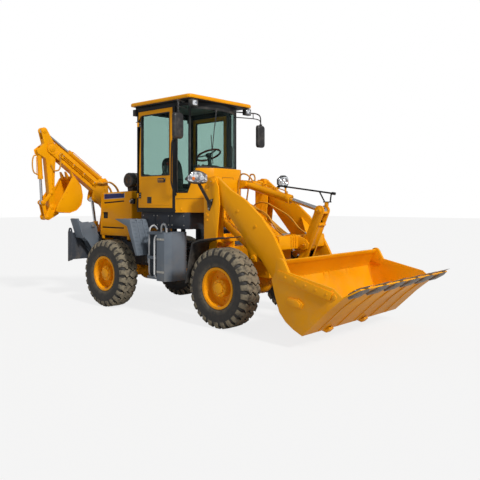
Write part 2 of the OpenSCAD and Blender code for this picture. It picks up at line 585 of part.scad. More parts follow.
// Front frame with the loader tower
tower_base_z = 1160;
nose_x = 1600;
front_rear_x = 160;
module tower_outer()
    polygon([[700, tower_base_z - 60], [950, tower_base_z - 60], [945, tower_base_z + 30], [1000, 1660], [975, 1900],
        [905, 2032], [760, 2032], [700, 1860]]);
module tower_inner()
    polygon([[740, tower_base_z - 60], [960, tower_base_z - 60], [960, 1500], [985, 1880], [910, 2032], [790, 2032], [740, 1900]]);
module front_chassis() color(yellow) {
    difference() {
        union() {
            both_sides() {
                block([front_rear_x, front_half_w - frame_t, frame_z0], [nose_x, front_half_w, frame_z1]);
                translate([0, tower_out, 0]) rotate([90, 0, 0]) linear_extrude(tower_t) tower_outer();
                translate([0, tower_in + tower_t, 0]) rotate([90, 0, 0]) linear_extrude(tower_t) tower_inner();
                // Pivot pin of the lift arm with its outer cap
                disc_y(arm_pivot, arm_pin_r, tower_in + 1, tower_out + 12);
                disc_y(arm_pivot, 52, tower_out - 1, tower_out + 8);
                // Ear and pin at the lift cylinder's base
                plate_xz([[724, 1380], [850, 1390], [880, 1460], [850, 1520], [724, 1530]], lift_ear_y, lift_ear_y + 24);
                disc_y(lift_base, 32, lift_ear_y + 1, tower_in + 1);
                // Clevis plate of the tilt cylinder's base
                plate_xz([[861, 1890], [950, 1885], [1030, 1920], [1030, 1980], [960, 2010], [861, 1990]], 62, 84);
            }
            block([front_rear_x, -front_half_w, frame_z0], [front_rear_x + frame_t, front_half_w, frame_z1]);
            block([nose_x - frame_t, -front_half_w, frame_z0], [nose_x, front_half_w, frame_z1]);
            for (z = [hinge_top - lug_t - 1, hinge_low + lug_t + 1]) hinge_lug(front_rear_x + 1, front_half_w - 30, z);
            // Base, web and cross-member of the tower
            block([720, -tower_out + 1, frame_z1 - 30], [940, tower_out - 1, frame_z1 + 10]);
            block([720, -tower_out + 1, tower_base_z - 40], [940, tower_out - 1, tower_base_z]);
            both_sides() block([720, tower_out - tower_t, frame_z1 - 30], [940, tower_out, tower_base_z]);
            both_sides() block([720, front_half_w - frame_t, frame_z1 - 1], [940, front_half_w, tower_base_z - 1]);
            block([722, -tower_in - 1, tower_base_z - 1], [744, tower_in + 1, 1560]);
            block([860, -tower_in - 1, 1880], [900, tower_in + 1, 2010]);
            disc_y(tilt_base, 30, -83, 83);
        }
        cylinder(h = 3000, r = hinge_pin_r + pin_gap);
        // Window in the tower's web
        block([700, -260, 1220], [760, 260, 1340]);
    }
}

// Fenders behind and over the front wheels
module front_fenders() color("black") both_sides()
    translate([axle_x, 0, 0])
        plate_xz([[-588, 560], [-460, 1120], [-310, 1172], [150, 1222], [150, 1208], [-305, 1156], [-444, 1108], [-570, 560]],
            tower_out + face_gap, wheel_y + tyre_w / 2 - 5);

// Headlamps on their brackets, with the shell behind each lens
module headlamps() color(black) both_sides() {
    plate_xy([[830, 800], [900, 790], [960, 830], [955, 1080], [870, 1105], [820, 1060]], 1935, 2125);
    tube_between([824, tower_out + 36, 1600], [860, 830, 1940], 22);
    block([792, tower_out + face_gap, 1560], [856, tower_out + 44, 1630]);
}

// Lift arms with cross tube, bosses and clevises
arm_outline = [
    [820, 2050], [940, 2020], [1165, 1853], [1440, 1709], [1720, 1480], [1915, 1257], [2046, 1038], [2120, 895],
    [2270, 500], [2240, 370], [2120, 370], [2080, 460], [1915, 687], [1720, 915],
    [1640, 985], [1640, 890], [1530, 880], [1500, 960], [1440, 1162], [1250, 1376], [980, 1670], [790, 1920]
];
clevis_y = 84;
module lift_arms() color(yellow) {
    difference() {
        union() {
            both_sides() {
                plate_xz(arm_outline, arm_y0, arm_y1);
                disc_y(arm_pivot, 76, tower_in + tower_t + side_gap, tower_out - tower_t - side_gap);
                disc_y(bucket_pivot, 96, arm_y0 - 8, arm_y1 + 8);
                disc_y(lift_eye, 52, tower_in - 8, arm_y0 + 1);
                plate_xz([[1860, 1070], [1990, 1070], [2060, 1030], [2130, 1060], [2155, 1130], [2110, 1185], [1960, 1236], [1860, 1236]],
                    clevis_y, clevis_y + 26);
            }
            block([1850, -arm_y0 - 1, 1060], [1985, arm_y0 + 1, 1236]);
            both_sides() plate_xy([[1620, arm_y0 + 1], [1851, 250], [1851, arm_y0 + 1]], 1196, 1212);
            disc_y(rocker_pivot, 36, -clevis_y - 25, clevis_y + 25);
        }
        both_sides() {
            disc_y(arm_pivot, arm_pin_r + pin_gap, tower_in, tower_out);
            disc_y(bucket_pivot, 34 + pin_gap, arm_y0 - 20, arm_y1 + 20);
        }
    }
}

// Rocker: two plates on a hub, forked at both pins
rocker_t = 30;
module rocker() color(yellow) {
    difference() {
        union() {
            both_sides() {
                plate_xz([[2235, 1590], [2300, 1638], [2360, 1600], [2362, 1540], [2175, 1100], [1990, 640], [1930, 604],
                    [1864, 630], [1864, 700], [1995, 1000], [2003, 1140], [2097, 1249], [2222, 1544]],
                    clevis_y - side_gap - rocker_t, clevis_y - side_gap);
                disc_y(rocker_top, 68, clevis_y - side_gap - rocker_t, clevis_y - side_gap);
                disc_y(rocker_low, 62, clevis_y - side_gap - rocker_t, clevis_y - side_gap);
                disc_y(rocker_top, 40, clevis_y - side_gap - 1, clevis_y + 12);
            }
            disc_y(rocker_pivot, 80, -clevis_y + side_gap, clevis_y - side_gap);
            plate_xz([[2104, 1170], [2160, 1330], [2190, 1318], [2140, 1160]], -clevis_y + side_gap + 1, clevis_y - side_gap - 1);
            // Closing plate along the front edge
            plate_xz([[2146, 1112], [2170, 1100], [2300, 1402], [2278, 1412]], -clevis_y + side_gap + 1, clevis_y - side_gap - 1);
            disc_y(rocker_low, 28, -clevis_y + side_gap + 2, clevis_y - side_gap - 2);
        }
        disc_y(rocker_pivot, 36 + pin_gap, -clevis_y, clevis_y);
    }
}

// Link from the rocker's lower pin to the bucket
link_w = 2 * (clevis_y - side_gap - rocker_t - side_gap);
module bucket_link() color(yellow)
    difference() {
        union() {
            plate_xz(bar_outline(rocker_low, bucket_ear, 40, 40), -link_w / 2, link_w / 2);
            disc_y(rocker_low, 56, -link_w / 2, link_w / 2);
            disc_y(bucket_ear, 46, -link_w / 2, link_w / 2);
        }
        disc_y(rocker_low, 28 + pin_gap, -link_w, link_w);
    }

// Loader bucket: side plates, rolled shell, lips, ears and skid ribs
bucket_side = [
    [2470, 1000], [2343, 767], [2390, 599], [2457, 402], [2548, 300], [2658, 227], [2780, 170],
    [3100, 474], [3313, 646], [3190, 745], [2470, 900]
];
// Outer line of the rolled shell, from the top of its back to the cutting edge; the inner line follows at the shell's thickness
bucket_outer = [
    [2470, 1000], [2343, 767], [2390, 599], [2457, 402], [2548, 300], [2658, 227], [2780, 170], [3100, 474], [3313, 646], [3526, 756]
];
function inner_line(p, t) = [for (i = [0 : len(p) - 1])
    let (back = i == 0 ? p[1] - p[0] : p[i] - p[i - 1], ahead = i == len(p) - 1 ? back : p[i + 1] - p[i],
        u = back / norm(back), v = ahead / norm(ahead))
    p[i] + [-u[1] - v[1], u[0] + v[0]] * t / (1 + u * v)];
bucket_inner = inner_line(bucket_outer, bucket_shell_t);
bucket_shell = concat(bucket_outer, [for (i = [len(bucket_inner) - 1 : -1 : 0]) bucket_inner[i]]);
ear_in = arm_y0 - 8 - side_gap;
ear_out = arm_y1 + 8 + side_gap;
module bucket_ear_plate(y0, y1) plate_xz([[2360, 800], [2400, 600], [2460, 402], [2400, 330], [2240, 340], [2110, 370],
    [2110, 500], [2200, 620]], y0, y1);
module loader_bucket() color(yellow) {
    both_sides() {
        plate_xz(bucket_side, bucket_y - bucket_side_t, bucket_y);
        plate_xz([[2470, 900], [2426, 775], [3110, 612], [3190, 745]], bucket_y - 1, bucket_y + 12);
        bucket_ear_plate(ear_in - 24, ear_in);
        bucket_ear_plate(ear_out, ear_out + 24);
        plate_xz([[2368, 800], [2400, 600], [2330, 600], [2220, 660], [2225, 760], [2300, 800]], link_w / 2 + side_gap, link_w / 2 + side_gap + 26);
        disc_y(bucket_ear, 56, link_w / 2 + side_gap, link_w / 2 + side_gap + 26);
        disc_y(bucket_pivot, 34, ear_in - 23, ear_out + 23);
        disc_y(bucket_pivot, 92, ear_in - 24, ear_in);
        disc_y(bucket_pivot, 92, ear_out, ear_out + 24);
        disc_y(bucket_ear, 34, link_w / 2 + side_gap + 25, link_w / 2 + side_gap + 40);
    }
    plate_xz(bucket_shell, -bucket_y + 1, bucket_y - 1);
    // Stiffening ears at the rear top corners
    both_sides() plate_xz([[2405, 870], [2420, 985], [2440, 1014], [2472, 1026], [2506, 1018], [2534, 990], [2600, 868], [2560, 790], [2440, 800]],
        bucket_y - bucket_side_t - 10, bucket_y + 12);
    // Thin bar along the back wall's edge
    plate_xz([[2445, 958], [2470, 1006], [2492, 996], [2466, 948]], -bucket_y + 2, bucket_y - 2);
}

// Teeth along the cutting edge, with their adapters
tooth_pitch = (bucket_w - 240) / (bucket_teeth_n - 1);
tooth_from = bucket_inner[8] + [-0.2, 0.35];
tooth_to = bucket_inner[9] + [-0.2, 0.35];
module bucket_teeth() color("dimgray")
    for (i = [0 : bucket_teeth_n - 1]) {
        y = -(bucket_w - 240) / 2 + i * tooth_pitch;
        plate_xz([tooth_from, tooth_from + [26, 34], [3450, 760], [3560, 800], [3600, 812], [3560, 792], [3527, 773], tooth_to], y - 42, y + 42);
    }

// Cylinders of the loader
lift_dir = (lift_eye - lift_base) / norm(lift_eye - lift_base);
lift_len = norm(lift_eye - lift_base);
lift_y = (lift_ear_y + 1 + tower_in) / 2 + 8;
lift_w = 86;
module lift_barrels() color(yellow) both_sides()
    difference() {
        union() {
            bar_xz(lift_base + lift_dir * 34, lift_base + lift_dir * (lift_len - 106), lift_barrel_r, lift_y);
            disc_y(lift_base, 58, lift_y - lift_w / 2, lift_y + lift_w / 2);
            bar_xz(lift_base + lift_dir * (lift_len - 160), lift_base + lift_dir * (lift_len - 104), lift_barrel_r + 7, lift_y);
        }
        disc_y(lift_base, 32 + pin_gap, lift_y - lift_w, lift_y + lift_w);
        bar_xz(lift_base + lift_dir * 46, lift_base + lift_dir * lift_len, 30 + pin_gap * 3, lift_y);
    }
module lift_rods() color("silver") both_sides() {
    bar_xz(lift_base + lift_dir * 98, lift_base + lift_dir * (lift_len - 34), 30, lift_y);
    disc_y(lift_eye, 46, lift_y - lift_w / 2, lift_y + lift_w / 2);
}
tilt_dir = (rocker_top - tilt_base) / norm(rocker_top - tilt_base);
tilt_len = norm(rocker_top - tilt_base);
tilt_barrel_len = 830;
module tilt_barrel() color(yellow)
    difference() {
        union() {
            bar_xz(tilt_base + tilt_dir * 34, tilt_base + tilt_dir * tilt_barrel_len, tilt_barrel_r, 0);
            bar_xz(tilt_base + tilt_dir * (tilt_barrel_len - 60), tilt_base + tilt_dir * (tilt_barrel_len + 6), tilt_barrel_r + 9, 0);
            disc_y(tilt_base, 54, -59, 59);
        }
        disc_y(tilt_base, 30 + pin_gap, -70, 70);
        bar_xz(tilt_base + tilt_dir * 62, tilt_base + tilt_dir * 900, 32 + pin_gap * 3, 0);
    }
tilt_eye_w = 2 * (clevis_y - side_gap - rocker_t) - 2 * side_gap;
module tilt_rod() color("silver") {
    bar_xz(tilt_base + tilt_dir * 440, tilt_base + tilt_dir * (tilt_len - 30), 32, 0);
    disc_y(rocker_top, 56, -tilt_eye_w / 2, tilt_eye_w / 2);
}

// Doors: a yellow frame with a panel below its window
door_x0 = cab_x0 + 32;
door_x1 = post_x - 6;
door_z0 = cab_z0 + 66;
door_z1 = roof_z0 - 86;
door_y0 = cab_y - 42;
door_sill = 2090;
module door(s) color(yellow) scale([1, s, 1]) {
    difference() {
        block([door_x0, door_y0, door_z0], [door_x1, cab_y - 2, door_z1]);
        block([door_x0 + 62, door_y0 - 1, door_sill], [door_x1 - 62, cab_y, door_z1 - 62]);
        block([door_x0 + 40, door_y0 - 1, door_z0 + 40], [door_x1 - 40, cab_y - 16, door_sill - 40]);
    }
    // Handle and hinge knuckles
    block([-270, cab_y - 3, 2005], [-150, cab_y + 26, 2035]);
    for (z = hinge_z) difference() {
        union() {
            translate([hinge_at[0], hinge_at[1], z]) cylinder(h = 70, r = 13);
            block([hinge_at[0] - 8, cab_y - 3, z], [hinge_at[0] + 8, hinge_at[1], z + 70]);
        }
        translate([hinge_at[0], hinge_at[1], z - 1]) cylinder(h = 72, r = hinge_r + pin_gap);
    }
}
module door_glass(s) color("paleturquoise", 0.5) scale([1, s, 1])
    block([door_x0 + 62 + face_gap, cab_y - 28, door_sill + face_gap], [door_x1 - 62 - face_gap, cab_y - 28 + glass_t, door_z1 - 62 - face_gap]);

// Stabilizer legs: two plates with a foot pad, hinged low on the frame
leg_plate_t = 24;
module leg(s) color(light_grey) scale([1, s, 1]) {
    x1 = leg_x0 + leg_w;
    difference() {
        union() {
            for (x = [leg_x0, x1 - leg_plate_t]) {
                plate_yz([[275, 500], [365, 500], [700, 1010], [800, 1105], [905, 1390], [800, 1330], [590, 1345], [520, 1250], [500, 1000], [255, 580]], x, x + leg_plate_t);
                disc_x(leg_pivot, 66, x, x + leg_plate_t);
            }
            plate_yz([[795, 1085], [822, 1075], [935, 1400], [908, 1410]], leg_x0 - 16, x1 + 30);
            plate_yz([[640, 1000], [700, 1015], [790, 1105], [770, 1140], [680, 1060]], leg_x0 + 1, x1 - 1);
        }
        disc_x(leg_pivot, 26 + pin_gap, leg_x0 - 10, x1 + 10);
    }
    for (x = [leg_x0, x1]) disc_x(leg_eye, 40, x == leg_x0 ? x - 12 : x - 1, x == leg_x0 ? x + 1 : x + 12);
}
leg_mid = leg_x0 + leg_w / 2;
leg_dir = (leg_eye - leg_ram_base) / norm(leg_eye - leg_ram_base);
leg_len = norm(leg_eye - leg_ram_base);
module ram_yz(p, q, r)
    translate([leg_mid, p[0], p[1]]) rotate([-atan2(q[0] - p[0], q[1] - p[1]), 0, 0]) cylinder(h = norm(q - p), r = r);
module leg_barrel(s) color(light_grey) scale([1, s, 1])
    difference() {
        union() {
            ram_yz(leg_ram_base + leg_dir * 20, leg_ram_base + leg_dir * (leg_len - 90), leg_barrel_r);
            disc_x(leg_ram_base, 40, leg_mid - 40, leg_mid + 40);
        }
        disc_x(leg_ram_base, 20 + pin_gap, leg_mid - 60, leg_mid + 60);
        ram_yz(leg_ram_base + leg_dir * 50, leg_ram_base + leg_dir * leg_len, 25 + pin_gap * 3);
    }
module leg_rod(s) color("silver") scale([1, s, 1]) {
    ram_yz(leg_ram_base + leg_dir * 300, leg_ram_base + leg_dir * (leg_len - 30), 25);
    disc_x(leg_eye, 42, leg_mid - 40, leg_mid + 40);
}

// Hoe: the arm's plane stands across the machine; its reach points right at rest
module hoe_place() translate([hoe_x, hoe_shift, 0]) rotate([0, 0, -90]) children();
// In the hoe's own frame x is the reach and y the width
lug_low_z = 640;
lug_high_z = 1100;
swing_pin_r = 38;
module hoe_carriage() color(yellow) {
    back = beam_x0 - 32;
    block([back, hoe_shift - 290, 690], [beam_x0 + 26, hoe_shift + 290, beam_z1 + 20]);
    block([back + 10, hoe_shift - 250, beam_z1 + 0.5], [beam_x1 - 20, hoe_shift + 250, beam_z1 + 20]);
    block([back + 10, hoe_shift - 250, beam_z0 - 20.5], [beam_x1 - 60, hoe_shift + 250, beam_z0 - 0.5]);
    block([back + 10, hoe_shift - 250, beam_z0 - 20.5], [beam_x0 + 20, hoe_shift + 250, beam_z0 + 5]);
    for (z = [lug_low_z, lug_high_z]) difference() {
        union() {
            block([hoe_x, hoe_shift - 105, z], [back + 1, hoe_shift + 105, z + 50]);
            translate([hoe_x, hoe_shift, z]) cylinder(h = 50, r = 108);
        }
        translate([hoe_x, hoe_shift, z - 1]) cylinder(h = 52, r = swing_pin_r + pin_gap);
    }
}
post_half = 112;
post_fork = boom_w / 2 + side_gap;
module swing_post() color(yellow) hoe_place() {
    translate([0, 0, lug_low_z - 14]) cylinder(h = lug_high_z - lug_low_z + 76, r = swing_pin_r);
    translate([0, 0, lug_low_z + 50 + 1]) cylinder(h = lug_high_z - lug_low_z - 52, r = 92);
    block([60, -post_half + 1, lug_low_z + 52], [240, post_half - 1, lug_high_z - 4]);
    for (s = mirror_sides) scale([1, s, 1])
        plate_xz([[122, 692], [410, 740], [425, 850], [300, 1080], [210, 1540], [160, 1606], [50, 1606], [20, 1540], [40, 1240], [122, 1160]],
            post_fork, post_half);
    disc_y(boom_foot, 38, -post_half + 1, post_half - 1);
    disc_y(boom_ram_base, 30, -post_half + 1, post_half - 1);
}
boom_outline = [
    [36, 1568], [371, 2063], [1290, 2712], [1400, 2700], [1440, 2620], [1406, 2545], [522, 1904], [164, 1472], [100, 1436], [30, 1490]
];
module boom() color(yellow) hoe_place() {
    difference() {
        union() {
            plate_xz(boom_outline, -boom_w / 2, boom_w / 2);
            disc_y(boom_foot, 84, -boom_w / 2, boom_w / 2);
            disc_y(boom_tip, 92, -boom_w / 2, boom_w / 2);
            for (s = mirror_sides) scale([1, s, 1]) {
                plate_xz([[180, 1830], [200, 2090], [250, 2140], [310, 2130], [480, 2100], [300, 1900]], 54, 76);
                plate_xz([[250, 1620], [440, 1700], [500, 1696], [556, 1740], [550, 1800], [520, 1920], [330, 1760]], 62, 80);
                disc_y(stick_ram_base, 44, 54, 84);
                disc_y(boom_ram_eye, 42, 62, 84);
            }
            disc_y(stick_ram_base, 26, -75, 75);
        }
        disc_y(boom_foot, 38 + pin_gap, -boom_w, boom_w);
        // Slot for the stick at the tip
        plate_xz([[1050, 2860], [1560, 2860], [1560, 2380], [1250, 2380], [1120, 2440], [1050, 2500]],
            -stick_w / 2 - side_gap, stick_w / 2 + side_gap);
    }
    disc_y(boom_tip, 40, -boom_w / 2 + 1, boom_w / 2 - 1);
}
stick_outline = [
    [1449, 2950], [1500, 2978], [1552, 2892], [1500, 2700], [1640, 2590], [1620, 2520], [1470, 2440], [1412, 1900], [1404, 1600], [1390, 1552],
    [1330, 1552], [1305, 1600], [1300, 2100], [1280, 2560], [1300, 2700]
];
module stick() color(yellow) hoe_place() {
    difference() {
        union() {
            plate_xz(stick_outline, -stick_w / 2, stick_w / 2);
            disc_y(stick_top, 60, -stick_w / 2, stick_w / 2);
        }
        disc_y(boom_tip, 40 + pin_gap, -stick_w, stick_w);
        disc_y(stick_end, 26 + pin_gap, -stick_w, stick_w);
        // Slots for the two rods and barrels
        plate_xz([[1260, 2700], [1440, 2720], [1600, 2840], [1640, 3040], [1260, 3040]], -33, 33);
        plate_xz([[1495, 2420], [1510, 2650], [1700, 2650], [1700, 2400]], -48, 48);
    }
    disc_y(bucket_ram_base, 24, -stick_w / 2 + 1, stick_w / 2 - 1);
    for (s = mirror_sides) scale([1, s, 1]) disc_y(guide_base, 26, stick_w / 2 - 1, stick_w / 2 + 22);
}
hoe_ear_y0 = stick_w / 2 + side_gap;
hoe_side = [
    [1330, 1650], [1370, 1540], [1330, 1520], [1250, 1505], [1100, 1495], [960, 1540], [860, 1640], [830, 1800], [870, 1990], [1010, 2150], [1060, 2110], [1180, 1900]
];
hoe_shell = [
    [1330, 1520], [1250, 1505], [1100, 1495], [960, 1540], [860, 1640], [830, 1800], [870, 1990], [1010, 2150],
    [1022, 2140], [886, 1984], [845, 1800], [874, 1648], [968, 1553], [1102, 1510], [1246, 1519], [1326, 1533]
];
module hoe_bucket() color(yellow) hoe_place() {
    half = hoe_bucket_w / 2;
    for (s = mirror_sides) scale([1, s, 1]) {
        plate_xz(hoe_side, half - hoe_side_t, half);
        plate_xz([[1300, 1640], [1380, 1660], [1420, 1600], [1510, 1440], [1490, 1385], [1430, 1375], [1240, 1480], [1240, 1530]],
            hoe_ear_y0, hoe_ear_y0 + 22);
        disc_y(stick_end, 58, hoe_ear_y0, hoe_ear_y0 + 22);
        disc_y(hoe_link_end, 36, hoe_ear_y0 + 21, hoe_ear_y0 + 34);
    }
    disc_y(stick_end, 26, -hoe_ear_y0 - 21, hoe_ear_y0 + 21);
    plate_xz(hoe_shell, -half + 1, half - 1);
    for (y = [-half + 50, 0, half - 50])
        plate_xz([[950, 2070], [990, 2110], [1060, 2230], [1040, 2140], [1014, 2090]], y - 30, y + 30);
}
module hoe_guide_links() color(yellow) hoe_place()
    difference() {
        union() {
            for (s = mirror_sides) scale([1, s, 1]) {
                plate_xz(bar_outline(guide_base, guide_end, 30, 30), hoe_ear_y0, hoe_ear_y0 + 16);
                disc_y(guide_base, 38, hoe_ear_y0, hoe_ear_y0 + 16);
                disc_y(guide_end, 38, hoe_ear_y0, hoe_ear_y0 + 16);
                disc_y(guide_end, 24, 28, hoe_ear_y0 + 15);
            }
        }
        disc_y(guide_base, 26 + pin_gap, -200, 200);
    }
module hoe_bucket_link() color(yellow) hoe_place()
    difference() {
        union() {
            for (s = mirror_sides) scale([1, s, 1]) {
                plate_xz(bar_outline(guide_end, hoe_link_end, 30, 30), 30, 54);
                disc_y(guide_end, 38, 30, 54);
                disc_y(hoe_link_end, 38, 30, 54);
            }
            disc_y(hoe_link_end, 36, -53, 53);
        }
        disc_y(guide_end, 24 + pin_gap, -200, 200);
    }

// A hydraulic cylinder of the hoe: the barrel with its base eye, then the rod with its eye
module hoe_barrel(p, q, length, r, rod_r, pin_r, eye_r, eye_w) {
    d = (q - p) / norm(q - p);
    difference() {
        union() {
            bar_xz(p + d * 25, p + d * length, r, 0);
            bar_xz(p + d * (length - 45), p + d * (length + 4), r + 4, 0);
            disc_y(p, eye_r, -eye_w / 2, eye_w / 2);
        }
        disc_y(p, pin_r + pin_gap, -eye_w, eye_w);
        bar_xz(p + d * (eye_r + 8), p + d * (length + 50), rod_r + pin_gap * 3, 0);
    }
}
module hoe_rod(p, q, start, rod_r, eye_r, eye_w) {
    d = (q - p) / norm(q - p);
    bar_xz(p + d * start, q - d * 20, rod_r, 0);
    disc_y(q, eye_r, -eye_w / 2, eye_w / 2);
}
module boom_barrel() color(yellow) hoe_place() hoe_barrel(boom_ram_base, boom_ram_eye, 530, 52, 28, 30, 50, 84);
module boom_rod() color("silver") hoe_place() hoe_rod(boom_ram_base, boom_ram_eye, 440, 28, 44, 116);
module stick_barrel() color(yellow) hoe_place() hoe_barrel(stick_ram_base, stick_top, 886, 48, 27, 26, 46, 84);
module stick_rod() color("silver") hoe_place() hoe_rod(stick_ram_base, stick_top, 640, 27, 46, 60);
module hoe_bucket_barrel() color(yellow) hoe_place() hoe_barrel(bucket_ram_base, guide_end, 480, 42, 24, 24, 40, 84);
module hoe_bucket_rod() color("silver") hoe_place() hoe_rod(bucket_ram_base, guide_end, 420, 24, 36, 50);

rear_chassis();
rear_axle();
engine();
engine_hood();
air_cleaner();
cab_frame();
cab_roof();
cab_cowl();
cab_glass();
seat();
controls();
side_steps();
rear_fenders();
mirrors();
work_lamps();
front_chassis();
front_axle();
front_fenders();
headlamps();
lift_arms();
rocker();
bucket_link();
loader_bucket();
bucket_teeth();
lift_barrels();
lift_rods();
tilt_barrel();
tilt_rod();
tyre_at(axle_x, -1);  // tyre_front_right
tyre_at(axle_x, 1);  // tyre_front_left
tyre_at(-axle_x, -1);  // tyre_rear_right
tyre_at(-axle_x, 1);  // tyre_rear_left
rim_at(axle_x, -1);  // rim_front_right
rim_at(axle_x, 1);  // rim_front_left
rim_at(-axle_x, -1);  // rim_rear_right
rim_at(-axle_x, 1);  // rim_rear_left
door(-1);  // door_right
door(1);  // door_left
door_glass(-1);  // door_glass_right
door_glass(1);  // door_glass_left
leg(-1);  // leg_right
leg(1);  // leg_left
leg_barrel(-1);  // leg_barrel_right
leg_barrel(1);  // leg_barrel_left
leg_rod(-1);  // leg_rod_right
leg_rod(1);  // leg_rod_left
hoe_carriage();
swing_post();
boom();
stick();
hoe_bucket();
hoe_guide_links();
hoe_bucket_link();
boom_barrel();
boom_rod();
stick_barrel();
stick_rod();
hoe_bucket_barrel();
hoe_bucket_rod();
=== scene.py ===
"""Looks of a centre-steered backhoe loader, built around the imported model. All lengths are in metres."""

import json
import math

import bmesh
import bpy
from mathutils import Matrix, Vector
from mathutils.bvhtree import BVHTree


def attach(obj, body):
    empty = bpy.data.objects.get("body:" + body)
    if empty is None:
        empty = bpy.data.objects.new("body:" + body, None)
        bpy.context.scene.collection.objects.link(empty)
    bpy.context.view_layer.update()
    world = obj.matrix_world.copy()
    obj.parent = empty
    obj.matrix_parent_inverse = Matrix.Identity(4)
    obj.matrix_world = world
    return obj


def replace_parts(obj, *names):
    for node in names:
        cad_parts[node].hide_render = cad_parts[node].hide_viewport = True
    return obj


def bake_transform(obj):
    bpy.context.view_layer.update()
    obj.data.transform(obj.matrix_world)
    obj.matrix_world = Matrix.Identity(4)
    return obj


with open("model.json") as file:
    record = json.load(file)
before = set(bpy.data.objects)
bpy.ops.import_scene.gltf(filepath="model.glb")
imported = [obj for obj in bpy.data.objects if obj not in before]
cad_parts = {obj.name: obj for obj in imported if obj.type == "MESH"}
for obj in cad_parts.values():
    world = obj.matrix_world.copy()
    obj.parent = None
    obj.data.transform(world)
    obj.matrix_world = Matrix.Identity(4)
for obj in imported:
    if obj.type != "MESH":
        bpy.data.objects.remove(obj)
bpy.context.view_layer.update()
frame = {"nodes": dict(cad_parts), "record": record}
NODES = frame["nodes"]
RECORD = frame["record"]
BODY_OF = {n: b for b, ns in RECORD["behaviour"]["bodies"].items() for n in ns}
SLOT_OF = {s["node"]: s["material_slot"] for s in RECORD["subparts"]}
SIDES = (("right", -1), ("left", 1))
Y, Z = Vector((0, 1, 0)), Vector((0, 0, 1))

# The photo's camera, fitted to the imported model; its focal length and horizon are in the photo's pixels
PHOTO = 480
EYE, HEADING = (6.603, -6.504, 1.664), 41.514
FOCAL, HORIZON = 583.187, 203.466
SENSOR = 36
FLOOR_HALF = 60

# Wheels, the windshield's arc in plan, and the hoe's swing axis
AXLE_X, WHEEL_Y, WHEEL_R, TYRE_W = 1.26, 0.79, 0.5375, 0.33
SHIELD_R, SHIELD_X = 1.0013, 0.45 - 1.01133
HOE_X, HOE_Y = -2.66, 0.3


# Camera, light, floor
def place(name, data):
    obj = bpy.data.objects.new(name, data)
    bpy.context.scene.collection.objects.link(obj)
    return obj


def make_camera():
    data = bpy.data.cameras.new("camera")
    cam = place("camera", data)
    cam.location = EYE
    cam.rotation_euler = (math.radians(90), 0, math.radians(HEADING))
    data.sensor_width = SENSOR
    data.lens = FOCAL / PHOTO * SENSOR
    data.shift_y = -(PHOTO / 2 - HORIZON) / PHOTO
    data.clip_end = 200
    bpy.context.scene.camera = cam


def sun(name, energy, start, spread, colour):
    data = bpy.data.lights.new(name, "SUN")
    data.energy = energy
    data.color = colour
    data.angle = math.radians(spread)
    obj = place(name, data)
    obj.location = start
    obj.rotation_euler = (Z - Vector(start)).to_track_quat("-Z", "Y").to_euler()


def show_white(tree, shader, out, share=1.0):
    """The camera sees plain white for this share instead of the shader, also through glass."""
    white = tree.nodes.new("ShaderNodeEmission" if out.type == "OUTPUT_MATERIAL" else "ShaderNodeBackground")
    white.inputs["Color"].default_value = (1, 1, 1, 1)
    white.inputs["Strength"].default_value = 1.0
    mix = tree.nodes.new("ShaderNodeMixShader")
    path = tree.nodes.new("ShaderNodeLightPath")
    seen = tree.nodes.new("ShaderNodeMath")
    seen.operation = "MAXIMUM"
    part = tree.nodes.new("ShaderNodeMath")
    part.operation = "MULTIPLY"
    part.inputs[1].default_value = share
    tree.links.new(path.outputs["Is Camera Ray"], seen.inputs[0])
    tree.links.new(path.outputs["Is Transmission Ray"], seen.inputs[1])
    tree.links.new(seen.outputs[0], part.inputs[0])
    tree.links.new(part.outputs[0], mix.inputs[0])
    tree.links.new(shader.outputs[0], mix.inputs[1])
    tree.links.new(white.outputs[0], mix.inputs[2])
    tree.links.new(mix.outputs[0], out.inputs["Surface"])


def make_stage():
    world = bpy.data.worlds.new("world")
    bpy.context.scene.world = world
    world.use_nodes = True
    back = world.node_tree.nodes["Background"]
    back.inputs["Color"].default_value = (0.97, 0.98, 1.0, 1)
    back.inputs["Strength"].default_value = 0.38
    show_white(world.node_tree, back, world.node_tree.nodes["World Output"])
    mesh = bpy.data.meshes.new("floor")
    r = FLOOR_HALF
    mesh.from_pydata([(-r, -r, 0), (r, -r, 0), (r, r, 0), (-r, r, 0)], [], [(0, 1, 2, 3)])
    floor = place("floor", mesh)
    mat = bpy.data.materials.new("floor")
    mat.use_nodes = True
    bsdf = mat.node_tree.nodes["Principled BSDF"]
    bsdf.inputs["Base Color"].default_value = (0.6, 0.6, 0.6, 1)
    bsdf.inputs["Roughness"].default_value = 0.9
    bsdf.inputs["Specular IOR Level"].default_value = 0.1
    show_white(mat.node_tree, bsdf, mat.node_tree.nodes["Material Output"], 0.8)
    mesh.materials.append(mat)
    sun("sun", 2.8, (10, -2.2, 9), 8, (1.0, 0.98, 0.95))
    sun("fill", 0.14, (2, -10, 4), 70, (0.97, 0.98, 1.0))
    bpy.context.scene.view_settings.view_transform = "Standard"


